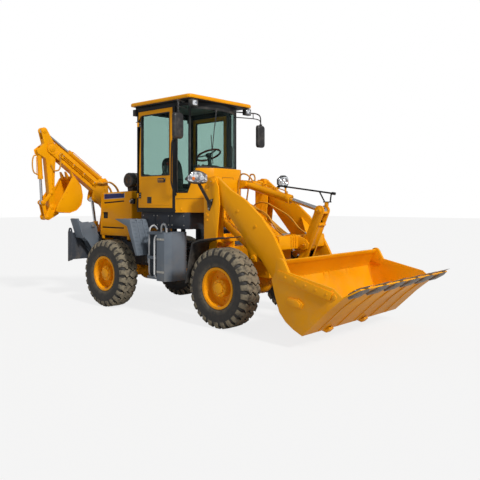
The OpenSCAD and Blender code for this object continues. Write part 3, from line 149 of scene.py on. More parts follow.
# Materials
class Nodes:
    """Short spellings for a material's node tree."""

    def __init__(self, name):
        self.mat = bpy.data.materials.new(name)
        self.mat.use_nodes = True
        self.tree = self.mat.node_tree
        self.bsdf = self.tree.nodes["Principled BSDF"]
        self.pos = self.node("TexCoord").outputs["Object"]

    def node(self, kind, **values):
        made = self.tree.nodes.new("ShaderNode" + kind)
        for key, value in values.items():
            if hasattr(made, key):
                setattr(made, key, value)
            else:
                self.put(made.inputs[key.replace("_", " ")], value)
        return made

    def put(self, socket, value):
        if isinstance(value, bpy.types.NodeSocket):
            self.tree.links.new(value, socket)
        else:
            socket.default_value = value

    def noise(self, scale, detail=4.0, rough=0.55, stretch=None):
        pos = self.pos
        if stretch:
            pos = self.node("Mapping", Vector=pos, Scale=stretch).outputs[0]
        return self.node("TexNoise", Scale=scale, Detail=detail, Roughness=rough, Vector=pos).outputs["Fac"]

    def cells(self, scale):
        return self.node("TexVoronoi", Scale=scale, Vector=self.pos).outputs["Distance"]

    def level(self, fac, low, high):
        """0 at low, 1 at high, smooth between."""
        made = self.node("MapRange", interpolation_type="SMOOTHSTEP", Value=fac, From_Min=low, From_Max=high)
        return made.outputs["Result"]

    def patches(self, low, high, *noise):
        return self.level(self.noise(*noise), low, high)

    def math(self, kind, a, b=0.0):
        made = self.node("Math", operation=kind)
        self.put(made.inputs[0], a)
        self.put(made.inputs[1], b)
        return made.outputs[0]

    def mul(self, a, b):
        return self.math("MULTIPLY", a, b)

    def add(self, a, b):
        return self.math("ADD", a, b)

    def off(self, a, b):
        """How far a lies from b."""
        return self.math("ABSOLUTE", self.math("SUBTRACT", a, b))

    def mix(self, fac, a, b):
        a, b = ((*c, 1) if isinstance(c, tuple) else c for c in (a, b))
        return self.node("MixRGB", Fac=fac, Color1=a, Color2=b).outputs[0]

    def bump(self, height, strength, distance=0.001):
        made = self.node("Bump", Strength=strength, Distance=distance, Height=height)
        self.put(self.bsdf.inputs["Normal"], made.outputs[0])

    def set(self, **values):
        for key, value in values.items():
            if isinstance(value, tuple):
                value = (*value, 1)
            self.put(self.bsdf.inputs[key.replace("_", " ")], value)
        return self.mat

    def split(self, source):
        made = self.node("SeparateXYZ")
        self.put(made.inputs[0], source)
        return made.outputs


DUST = (0.34, 0.27, 0.19)
PRIMER = (0.08, 0.07, 0.065)

# Slot or use, name, colour, second colour, roughness, dust and wear, then primer and coat where they differ
PAINTS = (
    ("yellow_paint", "yellow", (0.85, 0.35, 0.002), (0.78, 0.305, 0.001), 0.34, 0.05, 0.16),
    ("bucket_paint", "bucket_yellow", (0.85, 0.355, 0.002), (0.77, 0.305, 0.001), 0.38, 0.08, 0.4,
     (0.16, 0.11, 0.08)),
    ("light_grey_paint", "light_grey", (0.15, 0.178, 0.212), (0.118, 0.142, 0.172), 0.38, 0.22, 0.3),
    ("dark_grey_paint", "dark_grey", (0.055, 0.062, 0.075), (0.035, 0.04, 0.05), 0.42, 0.45, 0.25),
    ("black_paint", "black_satin", (0.02, 0.021, 0.023), (0.011, 0.012, 0.013), 0.3, 0.12, 0.2,
     (0.1, 0.1, 0.1)),
    ("sign", "sign_blue", (0.018, 0.035, 0.145), (0.013, 0.026, 0.11), 0.35, 0.1, 0.1),
    ("silver", "silver_paint", (0.56, 0.57, 0.58), (0.44, 0.45, 0.46), 0.3, 0.25, 0.2),
    ("roof_lining", "grey_lining", (0.2, 0.2, 0.19), (0.15, 0.15, 0.145), 0.8, 0.0, 0.0, PRIMER, 0.0),
)

# Slot or use, name, colour, lighter patches, roughness, grain, dust
PLASTICS = (
    ("black_plastic", "black_plastic", (0.018, 0.018, 0.019), (0.035, 0.035, 0.036), 0.46, 900, 0.2),
    ("lamp_housing", "lamp_housing", (0.02, 0.02, 0.021), (0.035, 0.035, 0.036), 0.38, 900, 0.2),
    ("cast_iron", "cast_iron", (0.045, 0.045, 0.048), (0.085, 0.082, 0.078), 0.62, 260, 0.35),
    ("seal", "rubber_seal", (0.012, 0.012, 0.012), (0.022, 0.022, 0.022), 0.62, 500, 0.12),
    ("hose", "hose_rubber", (0.014, 0.014, 0.015), (0.03, 0.029, 0.028), 0.5, 1300, 0.25),
    ("gold_hose", "gold_hose", (0.62, 0.27, 0.01), (0.42, 0.18, 0.01), 0.45, 1300, 0.12),
    ("wood_rim", "red_brown_rim", (0.15, 0.022, 0.014), (0.085, 0.014, 0.01), 0.3, 400, 0.0),
    ("red_plastic", "dark_red_plastic", (0.17, 0.012, 0.01), (0.095, 0.009, 0.008), 0.4, 500, 0.05),
    ("dash", "dash_green", (0.016, 0.03, 0.029), (0.03, 0.046, 0.044), 0.35, 700, 0.05),
)


def painted(name, base, dark, rough, dust, wear, primer=PRIMER, coat=0.06):
    n = Nodes(name)
    colour = n.mix(n.patches(0.38, 0.68, 1.6, 3), base, dark)
    colour = n.mix(n.mul(n.patches(0.5, 0.8, 38, 6, 0.7), 0.16), colour, dark)
    # Dust settles low down and on faces that look up
    low = n.level(n.split(n.pos)["Z"], 1.15, 0.25)
    top = n.level(n.split(n.node("NewGeometry").outputs["Normal"])["Z"], 0.45, 0.95)
    amount = n.mul(n.patches(0.42, 0.66, 5.5, 7, 0.68), n.add(n.mul(low, 0.9), n.mul(top, 0.22)))
    amount = n.math("MINIMUM", n.mul(amount, dust * 1.6), 0.85)
    colour = n.mix(amount, colour, DUST)
    # Chipped edges
    edge = n.level(n.node("NewGeometry").outputs["Pointiness"], 0.53, 0.6)
    chips = n.mul(n.mul(edge, n.patches(0.55, 0.68, 26, 5, 0.75)), wear)
    colour = n.mix(chips, colour, primer)
    n.bump(n.noise(420, 2), 0.035, 0.0006)
    roughness = n.add(n.add(n.mul(n.noise(7, 5), 0.18), rough - 0.09), n.mul(amount, 0.5))
    return n.set(Base_Color=colour, Roughness=roughness, Specular_IOR_Level=0.14,
                 Coat_Weight=coat, Coat_Roughness=0.15)


def plastic(name, base, light, rough, grain, dust):
    n = Nodes(name)
    colour = n.mix(n.patches(0.4, 0.75, 9, 5), base, light)
    colour = n.mix(n.mul(n.patches(0.45, 0.72, 4.5, 6, 0.7), dust), colour, DUST)
    n.bump(n.noise(grain, 3), 0.12, 0.0006)
    return n.set(Base_Color=colour, Roughness=n.add(n.mul(n.noise(14, 4), 0.2), rough - 0.1))


def lens(name, bright, deep):
    n = Nodes(name)
    ripple = n.cells(120.0)
    n.bump(ripple, 0.3, 0.002)
    colour = n.mix(n.level(ripple, 0.1, 0.6), bright, deep)
    return n.set(Base_Color=colour, Roughness=0.12, Coat_Weight=0.8, Coat_Roughness=0.03)


def clear_lens():
    n = Nodes("lens")
    facet_and_glint = n.cells(23.0)
    n.bump(facet_and_glint, 0.6, 0.008)
    # Each facet is painted bright or dark: painted reflections on the clear glass
    colour = n.mix(n.level(facet_and_glint, 0.35, 0.75), (0.8, 0.84, 0.88), (0.16, 0.18, 0.22))
    return n.set(Base_Color=colour, Roughness=0.12, Metallic=0.25, Coat_Weight=1.0, Coat_Roughness=0.02)


def tyre_rubber():
    """Black rubber; dust is thickest on the outer lugs, by the distance from the wheel's axle."""
    n = Nodes("tyre")
    sidewall = n.mix(n.patches(0.4, 0.72, 7, 6, 0.65), (0.016, 0.015, 0.0145), (0.03, 0.027, 0.024))
    split = n.split(n.pos)
    along = n.math("SUBTRACT", n.math("ABSOLUTE", split["X"]), AXLE_X)
    up = n.math("SUBTRACT", split["Z"], WHEEL_R)
    radius = n.math("SQRT", n.add(n.mul(along, along), n.mul(up, up)))
    across = n.math("DIVIDE", n.off(n.math("ABSOLUTE", split["Y"]), WHEEL_Y), TYRE_W / 2)
    crown = n.math("SUBTRACT", WHEEL_R, n.mul(n.math("POWER", across, 8.0), 0.085))
    outer = n.level(n.math("SUBTRACT", radius, crown), -0.017, -0.006)
    inner = n.level(radius, 0.36, 0.29)
    where = n.add(n.add(n.mul(outer, 0.95), 0.04), n.mul(inner, 0.3))
    amount = n.mul(n.patches(0.3, 0.58, 16, 8, 0.72), where)
    n.bump(n.noise(210, 5, 0.7), 0.22, 0.001)
    colour = n.mix(amount, sidewall, (0.225, 0.19, 0.13))
    return n.set(Base_Color=colour, Roughness=n.add(0.62, n.mul(amount, 0.3)))


def glass():
    """Thin tinted pane: part see-through, part dark gloss."""
    n = Nodes("glass")
    see = n.node("BsdfTransparent", Color=(0.735, 0.832, 0.806, 1))
    rim = n.node("LayerWeight", Blend=0.5).outputs["Facing"]
    glance = n.mul(n.math("POWER", rim, 3.0), 0.7)
    smudge = n.patches(0.45, 0.75, 3.2, 5, 0.6)
    body = n.add(n.mul(smudge, 0.02), 0.035)
    mix = n.node("MixShader")
    n.put(mix.inputs[0], n.math("MINIMUM", n.add(body, glance), 1.0))
    n.put(mix.inputs[1], see.outputs[0])
    n.put(mix.inputs[2], n.bsdf.outputs[0])
    n.put(n.tree.nodes["Material Output"].inputs["Surface"], mix.outputs[0])
    colour = n.mix(smudge, (0.045, 0.062, 0.06), (0.0675, 0.093, 0.09))
    return n.set(Base_Color=colour, Roughness=n.add(0.03, n.mul(smudge, 0.03)))


def vinyl():
    n = Nodes("vinyl")
    n.bump(n.cells(420.0), 0.35, 0.0008)
    return n.set(Base_Color=n.mix(n.patches(0.4, 0.7, 6, 5), (0.022, 0.022, 0.024), (0.045, 0.044, 0.045)),
                 Roughness=0.52)


def chrome():
    n = Nodes("chrome")
    streak = n.noise(60, 5, 0.6)
    colour = n.mix(n.level(streak, 0.45, 0.75), (0.74, 0.75, 0.77), (0.6, 0.6, 0.6))
    return n.set(Base_Color=colour, Metallic=1.0, Roughness=n.add(0.1, n.mul(streak, 0.16)))


def worn_steel():
    n = Nodes("worn_steel")
    scratch = n.noise(9, 8, 0.75, (1, 14, 9))
    colour = n.mix(n.level(scratch, 0.35, 0.7), (0.3, 0.28, 0.26), (0.1, 0.085, 0.075))
    colour = n.mix(n.mul(n.patches(0.5, 0.7, 12, 6), 0.5), colour, (0.19, 0.1, 0.055))
    n.bump(scratch, 0.15, 0.001)
    return n.set(Base_Color=colour, Metallic=0.7, Roughness=n.add(0.34, n.mul(scratch, 0.3)))


def zinc_plate():
    n = Nodes("zinc")
    speck = n.noise(70, 5)
    colour = n.mix(n.level(speck, 0.4, 0.7), (0.52, 0.51, 0.47), (0.38, 0.36, 0.32))
    return n.set(Base_Color=colour, Metallic=0.9, Roughness=n.add(0.28, n.mul(speck, 0.25)))


def mirror_glass():
    n = Nodes("mirror")
    return n.set(Base_Color=(0.7, 0.73, 0.75), Metallic=1.0, Roughness=n.mul(n.noise(5, 4), 0.12))


def make_materials():
    m = {use: painted(*row) for use, *row in PAINTS}
    m.update({use: plastic(*row) for use, *row in PLASTICS})
    m["amber"] = lens("amber_lens", (0.85, 0.22, 0.01), (0.65, 0.13, 0.005))
    m["red"] = lens("red_lens", (0.45, 0.01, 0.008), (0.28, 0.005, 0.004))
    m["lens"], m["tyre_rubber"], m["tinted_glass"] = clear_lens(), tyre_rubber(), glass()
    m["black_vinyl"], m["chrome"], m["worn_steel"] = vinyl(), chrome(), worn_steel()
    m["zinc"], m["mirror"] = zinc_plate(), mirror_glass()
    return m


# Mesh helpers
def smooth_by_angle(mesh, degrees=35):
    bm = bmesh.new()
    bm.from_mesh(mesh)
    limit = math.radians(degrees)
    for face in bm.faces:
        face.smooth = True
    for edge in bm.edges:
        edge.smooth = len(edge.link_faces) == 2 and edge.calc_face_angle(0) < limit
    bm.to_mesh(mesh)
    bm.free()


def mesh_of(bm, name):
    bmesh.ops.recalc_face_normals(bm, faces=bm.faces)
    mesh = bpy.data.meshes.new(name)
    bm.to_mesh(mesh)
    bm.free()
    return mesh


def link(name, mesh, body, mat, slot=None):
    """Places a piece; one with no body is left unattached."""
    obj = place(name, mesh)
    mesh.materials.append(mat)
    if body is not None:
        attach(obj, body)
    return obj


def apply_modifiers(obj):
    bpy.context.view_layer.update()
    graph = bpy.context.evaluated_depsgraph_get()
    mesh = bpy.data.meshes.new_from_object(obj.evaluated_get(graph))
    old = obj.data
    obj.modifiers.clear()
    obj.data = mesh
    bpy.data.meshes.remove(old)


def bevel(obj, width, degrees, segments=2, clamp=True):
    mod = obj.modifiers.new("bevel", "BEVEL")
    mod.width = width
    mod.segments = segments
    mod.limit_method = "ANGLE"
    mod.angle_limit = math.radians(degrees)
    mod.use_clamp_overlap = clamp
    apply_modifiers(obj)


def on_skin(mesh, skin, reach):
    """Whether all corners, edges and middles of the mesh's triangles lie near the skin."""
    mesh.calc_loop_triangles()
    spots = [v.co for v in mesh.vertices]
    for tri in mesh.loop_triangles:
        a, b, c = (mesh.vertices[i].co for i in tri.vertices)
        spots += [(a + b + c) / 3, (a + b) / 2, (b + c) / 2, (c + a) / 2]
    return all(skin.find_nearest(spot, reach)[0] is not None for spot in spots)


# Shares of the wanted width, and whether the overlap is clamped, in the order in which they are tried
BEVEL_TRIES = ((1.0, False), (0.7, False), (0.4, False), (1.0, True), (0.2, False))


def dress(node, width, mat=None):
    """A copy of a CAD node with rounded edges, which stands for it."""
    mesh = NODES[node].data.copy()
    mesh.materials.clear()
    bm = bmesh.new()
    bm.from_mesh(mesh)
    bmesh.ops.remove_doubles(bm, verts=bm.verts, dist=2e-5)
    bmesh.ops.dissolve_limit(bm, angle_limit=math.radians(0.4), verts=bm.verts, edges=bm.edges)
    bm.to_mesh(mesh)
    bm.free()
    obj = link("v_" + node, mesh, BODY_OF[node], mat or MATS[SLOT_OF[node]], SLOT_OF[node])
    # A bevel that leaves the solid's skin is made again by the next way, or left out
    skin = BVHTree.FromPolygons([v.co for v in mesh.vertices], [p.vertices for p in mesh.polygons])
    for share, clamp in BEVEL_TRIES:
        plain = obj.data.copy()
        bevel(obj, width * share, 32, 2, clamp)
        if on_skin(obj.data, skin, width * 1.5):
            break
        obj.data = plain
    smooth_by_angle(obj.data)
    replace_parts(obj, node)


def frame_of(d):
    u = d.orthogonal().normalized()
    return u, d.cross(u).normalized()


def circle(centre, u, v, r, count, start=0.0):
    turns = [start + 2 * math.pi * i / count for i in range(count)]
    return [centre + (u * math.cos(t) + v * math.sin(t)) * r for t in turns]


def rounded(pts, bend, steps=5):
    """The points with each inner corner replaced by a short curve."""
    if bend <= 0 or len(pts) < 3:
        return pts
    out = [pts[0]]
    for a, b, c in zip(pts, pts[1:], pts[2:]):
        p = b + (a - b).normalized() * min(bend, (a - b).length * 0.45)
        q = b + (c - b).normalized() * min(bend, (c - b).length * 0.45)
        for i in range(steps + 1):
            t = i / steps
            out.append(p * (1 - t) ** 2 + b * 2 * t * (1 - t) + q * t * t)
    return out + [pts[-1]]


def smooth(points, steps=8):
    """A Catmull-Rom curve through the points."""
    pts = [Vector(p) for p in points]
    pts = [pts[0] * 2 - pts[1], *pts, pts[-1] * 2 - pts[-2]]
    out = []
    for a, b, c, d in zip(pts, pts[1:], pts[2:], pts[3:]):
        for i in range(steps):
            t = i / steps
            bow = (2 * a - 5 * b + 4 * c - d) * t * t + (3 * b - a - 3 * c + d) * t**3
            out.append(0.5 * (2 * b + (c - a) * t + bow))
    return out + [pts[-2]]


def loop_of(u0, u1, v0, v1, r, seg=5):
    """A rectangle with rounded corners as (u, v) points."""
    out = []
    left, right, low, high = u0 + r, u1 - r, v0 + r, v1 - r
    for cu, cv, start in ((right, high, 0), (left, high, 90), (left, low, 180), (right, low, 270)):
        for i in range(seg + 1):
            t = math.radians(start + 90 * i / seg)
            out.append((cu + r * math.cos(t), cv + r * math.sin(t)))
    return out


class Kit:
    """Adds small solids to a mesh; with s = -1 their y is mirrored."""

    def __init__(self, bm=None, s=1):
        self.bm = bmesh.new() if bm is None else bm
        self.s = s

    def at(self, p):
        return Vector((p[0], p[1] * self.s, p[2]))

    def flat(self, axis, w, points):
        """The points (u, v) in the plane across axis at w."""
        order = {"x": (2, 0, 1), "y": (0, 2, 1), "z": (0, 1, 2)}[axis]
        return [self.at([(u, v, w)[i] for i in order]) for u, v in points]

    def loft(self, rings, loop=False, plate=False):
        """Joins rings of points that all have the same count; a plate's ends are made before its rim."""
        made = [[self.bm.verts.new(p) for p in ring] for ring in rings]
        faces = []
        for one, two in zip(made, made[1:] + made[:1] if loop else made[1:]):
            for i in range(len(one)):
                j = (i + 1) % len(one)
                faces.append((one[i], one[j], two[j], two[i]))
        # The order of the faces decides how a bevel closes their corners
        if plate:
            faces = [made[0], made[-1][::-1], *faces]
        elif not loop:
            faces += [made[0][::-1], made[-1]]
        for face in faces:
            self.bm.faces.new(face)

    def slab(self, points, shift):
        """A flat outline, thickened by the vector shift."""
        moved = [Vector(p) + shift for p in points]
        self.loft([[self.at(p) for p in outline] for outline in (points, moved)], plate=True)

    def box(self, lo, hi, turn=None, about=None):
        """turn: a rotation about the point about, or about the box's middle."""
        (x0, y0, z0), (x1, y1, z1) = lo, hi
        rings = [self.flat("z", z, [(x0, y0), (x1, y0), (x1, y1), (x0, y1)]) for z in (z0, z1)]
        if turn is not None:
            about = self.at(about or (Vector(lo) + Vector(hi)) / 2)
            rings = [[about + turn @ (p - about) for p in ring] for ring in rings]
        self.loft(rings)

    def prism(self, outline, a, b):
        """A plate with this (x, z) outline, from a to b across the machine."""
        self.loft([self.flat("y", w, outline) for w in (a, b)], plate=True)

    def spin(self, profile, at, axis, seg=32):
        """A solid of revolution; profile is a closed row of (place along axis, radius)."""
        at, axis = self.at(at), self.at(axis).normalized()
        u, v = frame_of(axis)
        self.loft([circle(at + axis * along, u, v, r, seg) for along, r in profile], loop=True)

    def discs(self, at, d, steps, seg, start=0.0):
        """A turned solid from at along d; steps are (place, radius)."""
        u, v = frame_of(d)
        self.loft([circle(at + d * along, u, v, r, seg, start) for along, r in steps])

    def cyl(self, p, q, r, seg=24, r2=None):
        p, q = self.at(p), self.at(q)
        self.discs(p, (q - p).normalized(), [(0, r), ((q - p).length, r if r2 is None else r2)], seg)

    def knob(self, p, q, r, edge, seg=24):
        """A disc or cap with a rounded rim at its far end."""
        p, q = self.at(p), self.at(q)
        size = (q - p).length
        steps = [(0, r), (size - edge, r), (size - edge * 0.3, r - edge * 0.3), (size, r - edge)]
        self.discs(p, (q - p).normalized(), steps, seg)

    def bolt(self, at, direction, r=0.012, h=0.009):
        """A washer and a six-sided head."""
        at, d = self.at(at), self.at(direction).normalized()
        self.discs(at, d, [(-0.001, r * 1.45), (0.0025, r * 1.45)], 16)
        self.discs(at, d, [(0, r), (h * 0.8, r), (h, r * 0.86)], 6, 0.3)

    def tube(self, points, r, seg=10, bend=0.05):
        """A round tube along points, with its corners rounded by bend."""
        path = rounded([self.at(p) for p in points], bend)
        u = frame_of((path[1] - path[0]).normalized())[0]
        rings = []
        for i, p in enumerate(path):
            d = (path[min(i + 1, len(path) - 1)] - path[max(i - 1, 0)]).normalized()
            u = (u - d * u.dot(d)).normalized()
            rings.append(circle(p, u, d.cross(u), r, seg))
        self.loft(rings)

    def pillow(self, axis, u0, u1, v0, v1, r, stations):
        """A plate or housing with rounded corners; stations are (place along axis, inset)."""
        self.loft([self.flat(axis, w, loop_of(u0 + e, u1 - e, v0 + e, v1 - e, max(0.003, r - e * 0.6)))
                   for w, e in stations])

    def strip(self, axis, u0, u1, v0, v1, width, a, b, r=0.03):
        """A flat closed strip round a window, from a to b along axis."""
        outer = loop_of(u0, u1, v0, v1, r)
        inner = loop_of(u0 + width, u1 - width, v0 + width, v1 - width, max(0.004, r - width))
        edges = ((a, outer), (b, outer), (b, inner), (a, inner))
        self.loft([self.flat(axis, w, points) for w, points in edges], loop=True)


def finish(k, name, body, mat, slot=None, angle=38, edge=0.0):
    obj = link(name, mesh_of(k.bm, name), body, MATS[mat], slot)
    if edge:
        bevel(obj, edge, 40)
    smooth_by_angle(obj.data, angle)
    return obj


def hose(name, points, r, mat="gold_hose"):
    """A hose of its own, along a smooth curve through the points."""
    k = Kit()
    k.tube(smooth(points), r, 10, 0)
    return finish(k, name, None, mat)


KITS = {}


def kit(body, mat, edge=0.0, label="fittings", s=1):
    """The shared piece of one body, material and edge width, to which all details add."""
    key = (label, body, mat, edge)
    if key not in KITS:
        KITS[key] = bmesh.new()
    return Kit(KITS[key], s)


def finish_kits():
    used = set()
    for (label, body, mat, edge), bm in sorted(KITS.items(), key=lambda item: [str(k) for k in item[0]]):
        name = f"{label}_{body}_{mat}" + ("_edged" if edge else "")
        while name in used:
            name += "_b"
        used.add(name)
        finish(Kit(bm), name, body, mat, edge=edge)


# Wheels
LUGS, LUG_DEPTH, CHAMFER = 26, 0.03, 0.004
PITCH = 2 * math.pi / LUGS

# Radius over the lugs by the place across the tyre
CROWN = ((-0.165, 0.452), (-0.16, 0.4825), (-0.141, 0.5155), (-0.113, 0.5355), (-0.06, 0.5372), (0, 0.5375))

# Where a groove between two lugs runs round the tyre, in lug pitches
GROOVE = ((-0.165, 0.0), (-0.112, 0.02), (-0.078, 0.3), (-0.036, 0.02), (0.0, 0.24), (0.036, 0.46),
          (0.078, 0.18), (0.112, 0.46), (0.165, 0.48))

# The casing from the bead out to the crown: place across, radius
CASING = ((0.122, 0.2565), (0.122, 0.279), (0.138, 0.288), (0.1445, 0.294), (0.152, 0.306), (0.1565, 0.322),
          (0.1585, 0.338), (0.1605, 0.342), (0.1625, 0.349), (0.1618, 0.357), (0.164, 0.372), (0.1648, 0.392),
          (0.164, 0.414), (0.1618, 0.432), (0.1625, 0.437), (0.16, 0.452), (0.153, 0.47), (0.142, 0.487),
          (0.125, 0.5), (0.105, 0.508), (0.06, 0.5125), (0.0, 0.5135))

LUG_STATIONS = (0.165, 0.16, 0.141, 0.113, 0.095, 0.078, 0.057, 0.036, 0.018, 0.0)

# Seats of the tyre's beads on the rim: place along the axle, radius
RIM_RINGS = (((-0.1345, 0.264), (-0.1345, 0.272), (-0.131, 0.2785), (-0.1385, 0.2785), (-0.1385, 0.264)),
             ((0.1345, 0.262), (0.1345, 0.2785), (0.138, 0.2785), (0.1395, 0.275), (0.1395, 0.262)))


def between(stops, y):
    """The value at y on the straight lines through the stops."""
    for (y0, v0), (y1, v1) in zip(stops, stops[1:]):
        if y <= y1:
            return v0 + (v1 - v0) * (y - y0) / (y1 - y0)
    return stops[-1][1]


def lug_span(number, y, less=0.0):
    """Start and end of a lug round the tyre at y, in lug pitches."""
    gap = 0.44 if abs(y) > 0.13 else 0.3 if abs(y) > 0.1 else 0.17
    first = number + between(GROOVE, y)
    return first + gap / 2 + less, first + 1 - gap / 2 - less


def lug_section(number, y):
    """Six points of a lug as (y, radius, place round the tyre)."""
    start, end = lug_span(number, y)
    top = between(CROWN, -abs(y))
    low, side, wear = top - LUG_DEPTH, top - CHAMFER, CHAMFER / (PITCH * top)
    return [(y, low, start - 0.05), (y, side, start), (y, top, start + wear),
            (y, top, end - wear), (y, side, end), (y, low, end + 0.05)]


def lug_foot(number, way):
    """The outer face of a lug reaches down the sidewall to this section."""
    start, end = lug_span(number, way * 0.165, 0.04)
    inner, outer = way * 0.15, way * 0.164
    return [(inner, 0.424, start), (outer, 0.428, start), (outer, 0.43, start + 0.03),
            (outer, 0.43, end - 0.03), (outer, 0.428, end), (inner, 0.424, end)]


def tyre(x, s):
    """Casing with moulded rings, and zigzag lugs that turn down over the shoulders."""
    k = Kit(s=s)

    def at(y, r, turn):
        return k.at((x + r * math.sin(turn), WHEEL_Y + y, WHEEL_R + r * math.cos(turn)))

    profile = [(-y, r) for y, r in CASING] + list(CASING[-2::-1])
    turns = [2 * math.pi * i / 96 for i in range(96)]
    k.loft([[at(y, r, turn) for y, r in profile] for turn in turns], loop=True)
    stations = [-y for y in LUG_STATIONS] + list(LUG_STATIONS[-2::-1])
    for number in range(LUGS):
        sections = [lug_foot(number, -1), *(lug_section(number, y) for y in stations), lug_foot(number, 1)]
        k.loft([[at(y, r, s * PITCH * place) for y, r, place in section] for section in sections])
    return k


def make_wheels():
    for end, x in (("front", AXLE_X), ("rear", -AXLE_X)):
        for side, s in SIDES:
            body, node = f"wheel_{end}_{side}", f"tyre_{end}_{side}"
            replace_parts(finish(tyre(x, s), "v_" + node, body, "tyre_rubber", "tyre_rubber", 30), node)
            dress(f"rim_{end}_{side}", 0.004)
            k = kit(body, "yellow_paint", s=s)
            for i in range(8):
                c, v = math.cos(math.pi * i / 4), math.sin(math.pi * i / 4)
                for r, out, size in ((0.0965, 0.096, 0.0135), (0.178, -0.004, 0.013)):
                    k.bolt((x + c * r, WHEEL_Y + out, WHEEL_R + v * r), Y, size, 0.016)
            for ring in RIM_RINGS:
                k.spin(ring, (x, WHEEL_Y, WHEEL_R), Y, 48)
            valve, tip = (x, WHEEL_Y + 0.06, WHEEL_R - 0.243), (x, WHEEL_Y + 0.115, WHEEL_R - 0.236)
            kit(body, "zinc", s=s).cyl(valve, tip, 0.006, 10)


SEAM_WIDTH, SEAM_DEPTH = 0.006, 0.012


def cushion(name, body, lo, hi, channels, turn=None, about=None):
    """A crowned closed pad with sewn channels; channels are (axis, place)."""
    lo, hi = Vector(lo), Vector(hi)
    mid, half = (lo + hi) / 2, (hi - lo) / 2
    thin = min(range(3), key=lambda i: half[i])
    square = 0.3
    bm = bmesh.new()
    bmesh.ops.create_cube(bm, size=2)
    bmesh.ops.subdivide_edges(bm, edges=bm.edges, cuts=30, use_grid_fill=True)
    for v in bm.verts:
        n = sum(abs(c) ** (1 / square) for c in v.co) ** square
        out = v.co / n
        # Sides pull in between the corners
        pull = 1 - 0.035 * (1 - out.x**2) * (1 - out.y**2)
        p = Vector(out[i] * half[i] * (pull if i < 2 and abs(out[i]) > 0.8 else 1) for i in range(3))
        away = [(p["xyz".index(axis)] - at) / SEAM_WIDTH for axis, at in channels]
        depth = sum(SEAM_DEPTH * math.exp(-(share**2)) for share in away)
        if abs(out[thin]) > 0.5:
            p[thin] -= math.copysign(min(depth, half[thin] * 0.5), p[thin])
        v.co = mid + p if turn is None else Vector(about) + turn @ (mid + p - Vector(about))
    mesh = bpy.data.meshes.new(name)
    bm.to_mesh(mesh)
    bm.free()
    obj = link(name, mesh, body, MATS["black_vinyl"], "black_vinyl")
    smooth_by_angle(obj.data, 60)
    return obj


# Cab
# Half of the roof's section from its underside up to the middle: height, inset
ROOF = ((3.2035, 0.022), (3.2005, 0.014), (3.2025, 0.005), (3.208, 0.001), (3.216, 0.0), (3.236, 0.0),
        (3.246, 0.003), (3.254, 0.011), (3.2595, 0.024), (3.262, 0.042), (3.2675, 0.1), (3.2715, 0.18),
        (3.274, 0.3))


def arc_strip(k, z0, z1, y_max, seg=28):
    """A band on the windshield's curve between two heights."""
    rings = []
    for i in range(seg + 1):
        turn = math.asin(y_max / SHIELD_R) * (2 * i / seg - 1)
        corners = ((-0.004, z0), (0.006, z0), (0.006, z1), (-0.004, z1))
        rings.append([on_arc(turn, z, out) for out, z in corners])
    k.loft(rings)


def on_arc(turn, z, out):
    r = SHIELD_R + out
    return Vector((SHIELD_X + r * math.cos(turn), r * math.sin(turn), z))


def on_shield(y, z, out):
    return on_arc(math.asin(y / SHIELD_R), z, out)


def roof_ring(z, inset):
    out = []
    for cx, way, r, start in ((0.5, 1, 0.075, 0), (-0.88, 1, 0.045, 90), (-0.88, -1, 0.045, 180),
                              (0.5, -1, 0.075, 270)):
        r = max(0.012, r - inset * 0.5)
        px = cx - math.copysign(inset + r, cx)
        py = way * (0.702 - inset - r)
        for i in range(7):
            t = math.radians(start + 15 * i)
            out.append(Vector((px + r * math.cos(t), py + r * math.sin(t), z)))
    return out


def roof():
    k = Kit()
    k.loft([roof_ring(z, inset) for z, inset in ROOF])
    rib = [(3.262, 0.0), (3.2735, 0.004), (3.2757, 0.012)]
    for y in (-0.4, -0.13, 0.13, 0.4):
        k.pillow("z", -0.7, 0.33, y - 0.03, y + 0.03, 0.028, rib)
    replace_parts(finish(k, "v_cab_roof", "root", "yellow_paint", "yellow_paint", 30), "cab_roof")
    lining, seal = kit("root", "roof_lining", 0.004), kit("root", "seal")
    lining.pillow("z", -0.77, 0.26, -0.52, 0.52, 0.05, [(3.184, 0.0), (3.198, 0.0)])
    seal.pillow("z", -0.848, 0.47, -0.672, 0.672, 0.06, [(3.1935, 0.006), (3.2045, 0.0)])


def wiper():
    seal, black = kit("root", "seal"), kit("root", "black_plastic", 0.002)
    pivot = on_shield(-0.115, 3.075, 0.006)
    black.cyl(pivot - Vector((0.02, 0, 0)), pivot + Vector((0.03, 0, 0)), 0.02, 20)
    arm = [pivot + Vector((0.026, 0, 0)), on_shield(-0.135, 2.86, 0.026), on_shield(-0.175, 2.46, 0.02)]
    black.tube(arm, 0.0065, 8)
    black.tube([pivot + Vector((0.026, 0.012, -0.01)), on_shield(-0.118, 2.84, 0.024)], 0.0035, 6)
    blade = [on_shield(-0.188, 2.7, 0.008), on_shield(-0.172, 2.46, 0.009), on_shield(-0.155, 2.26, 0.009)]
    seal.tube(blade, 0.006, 6)


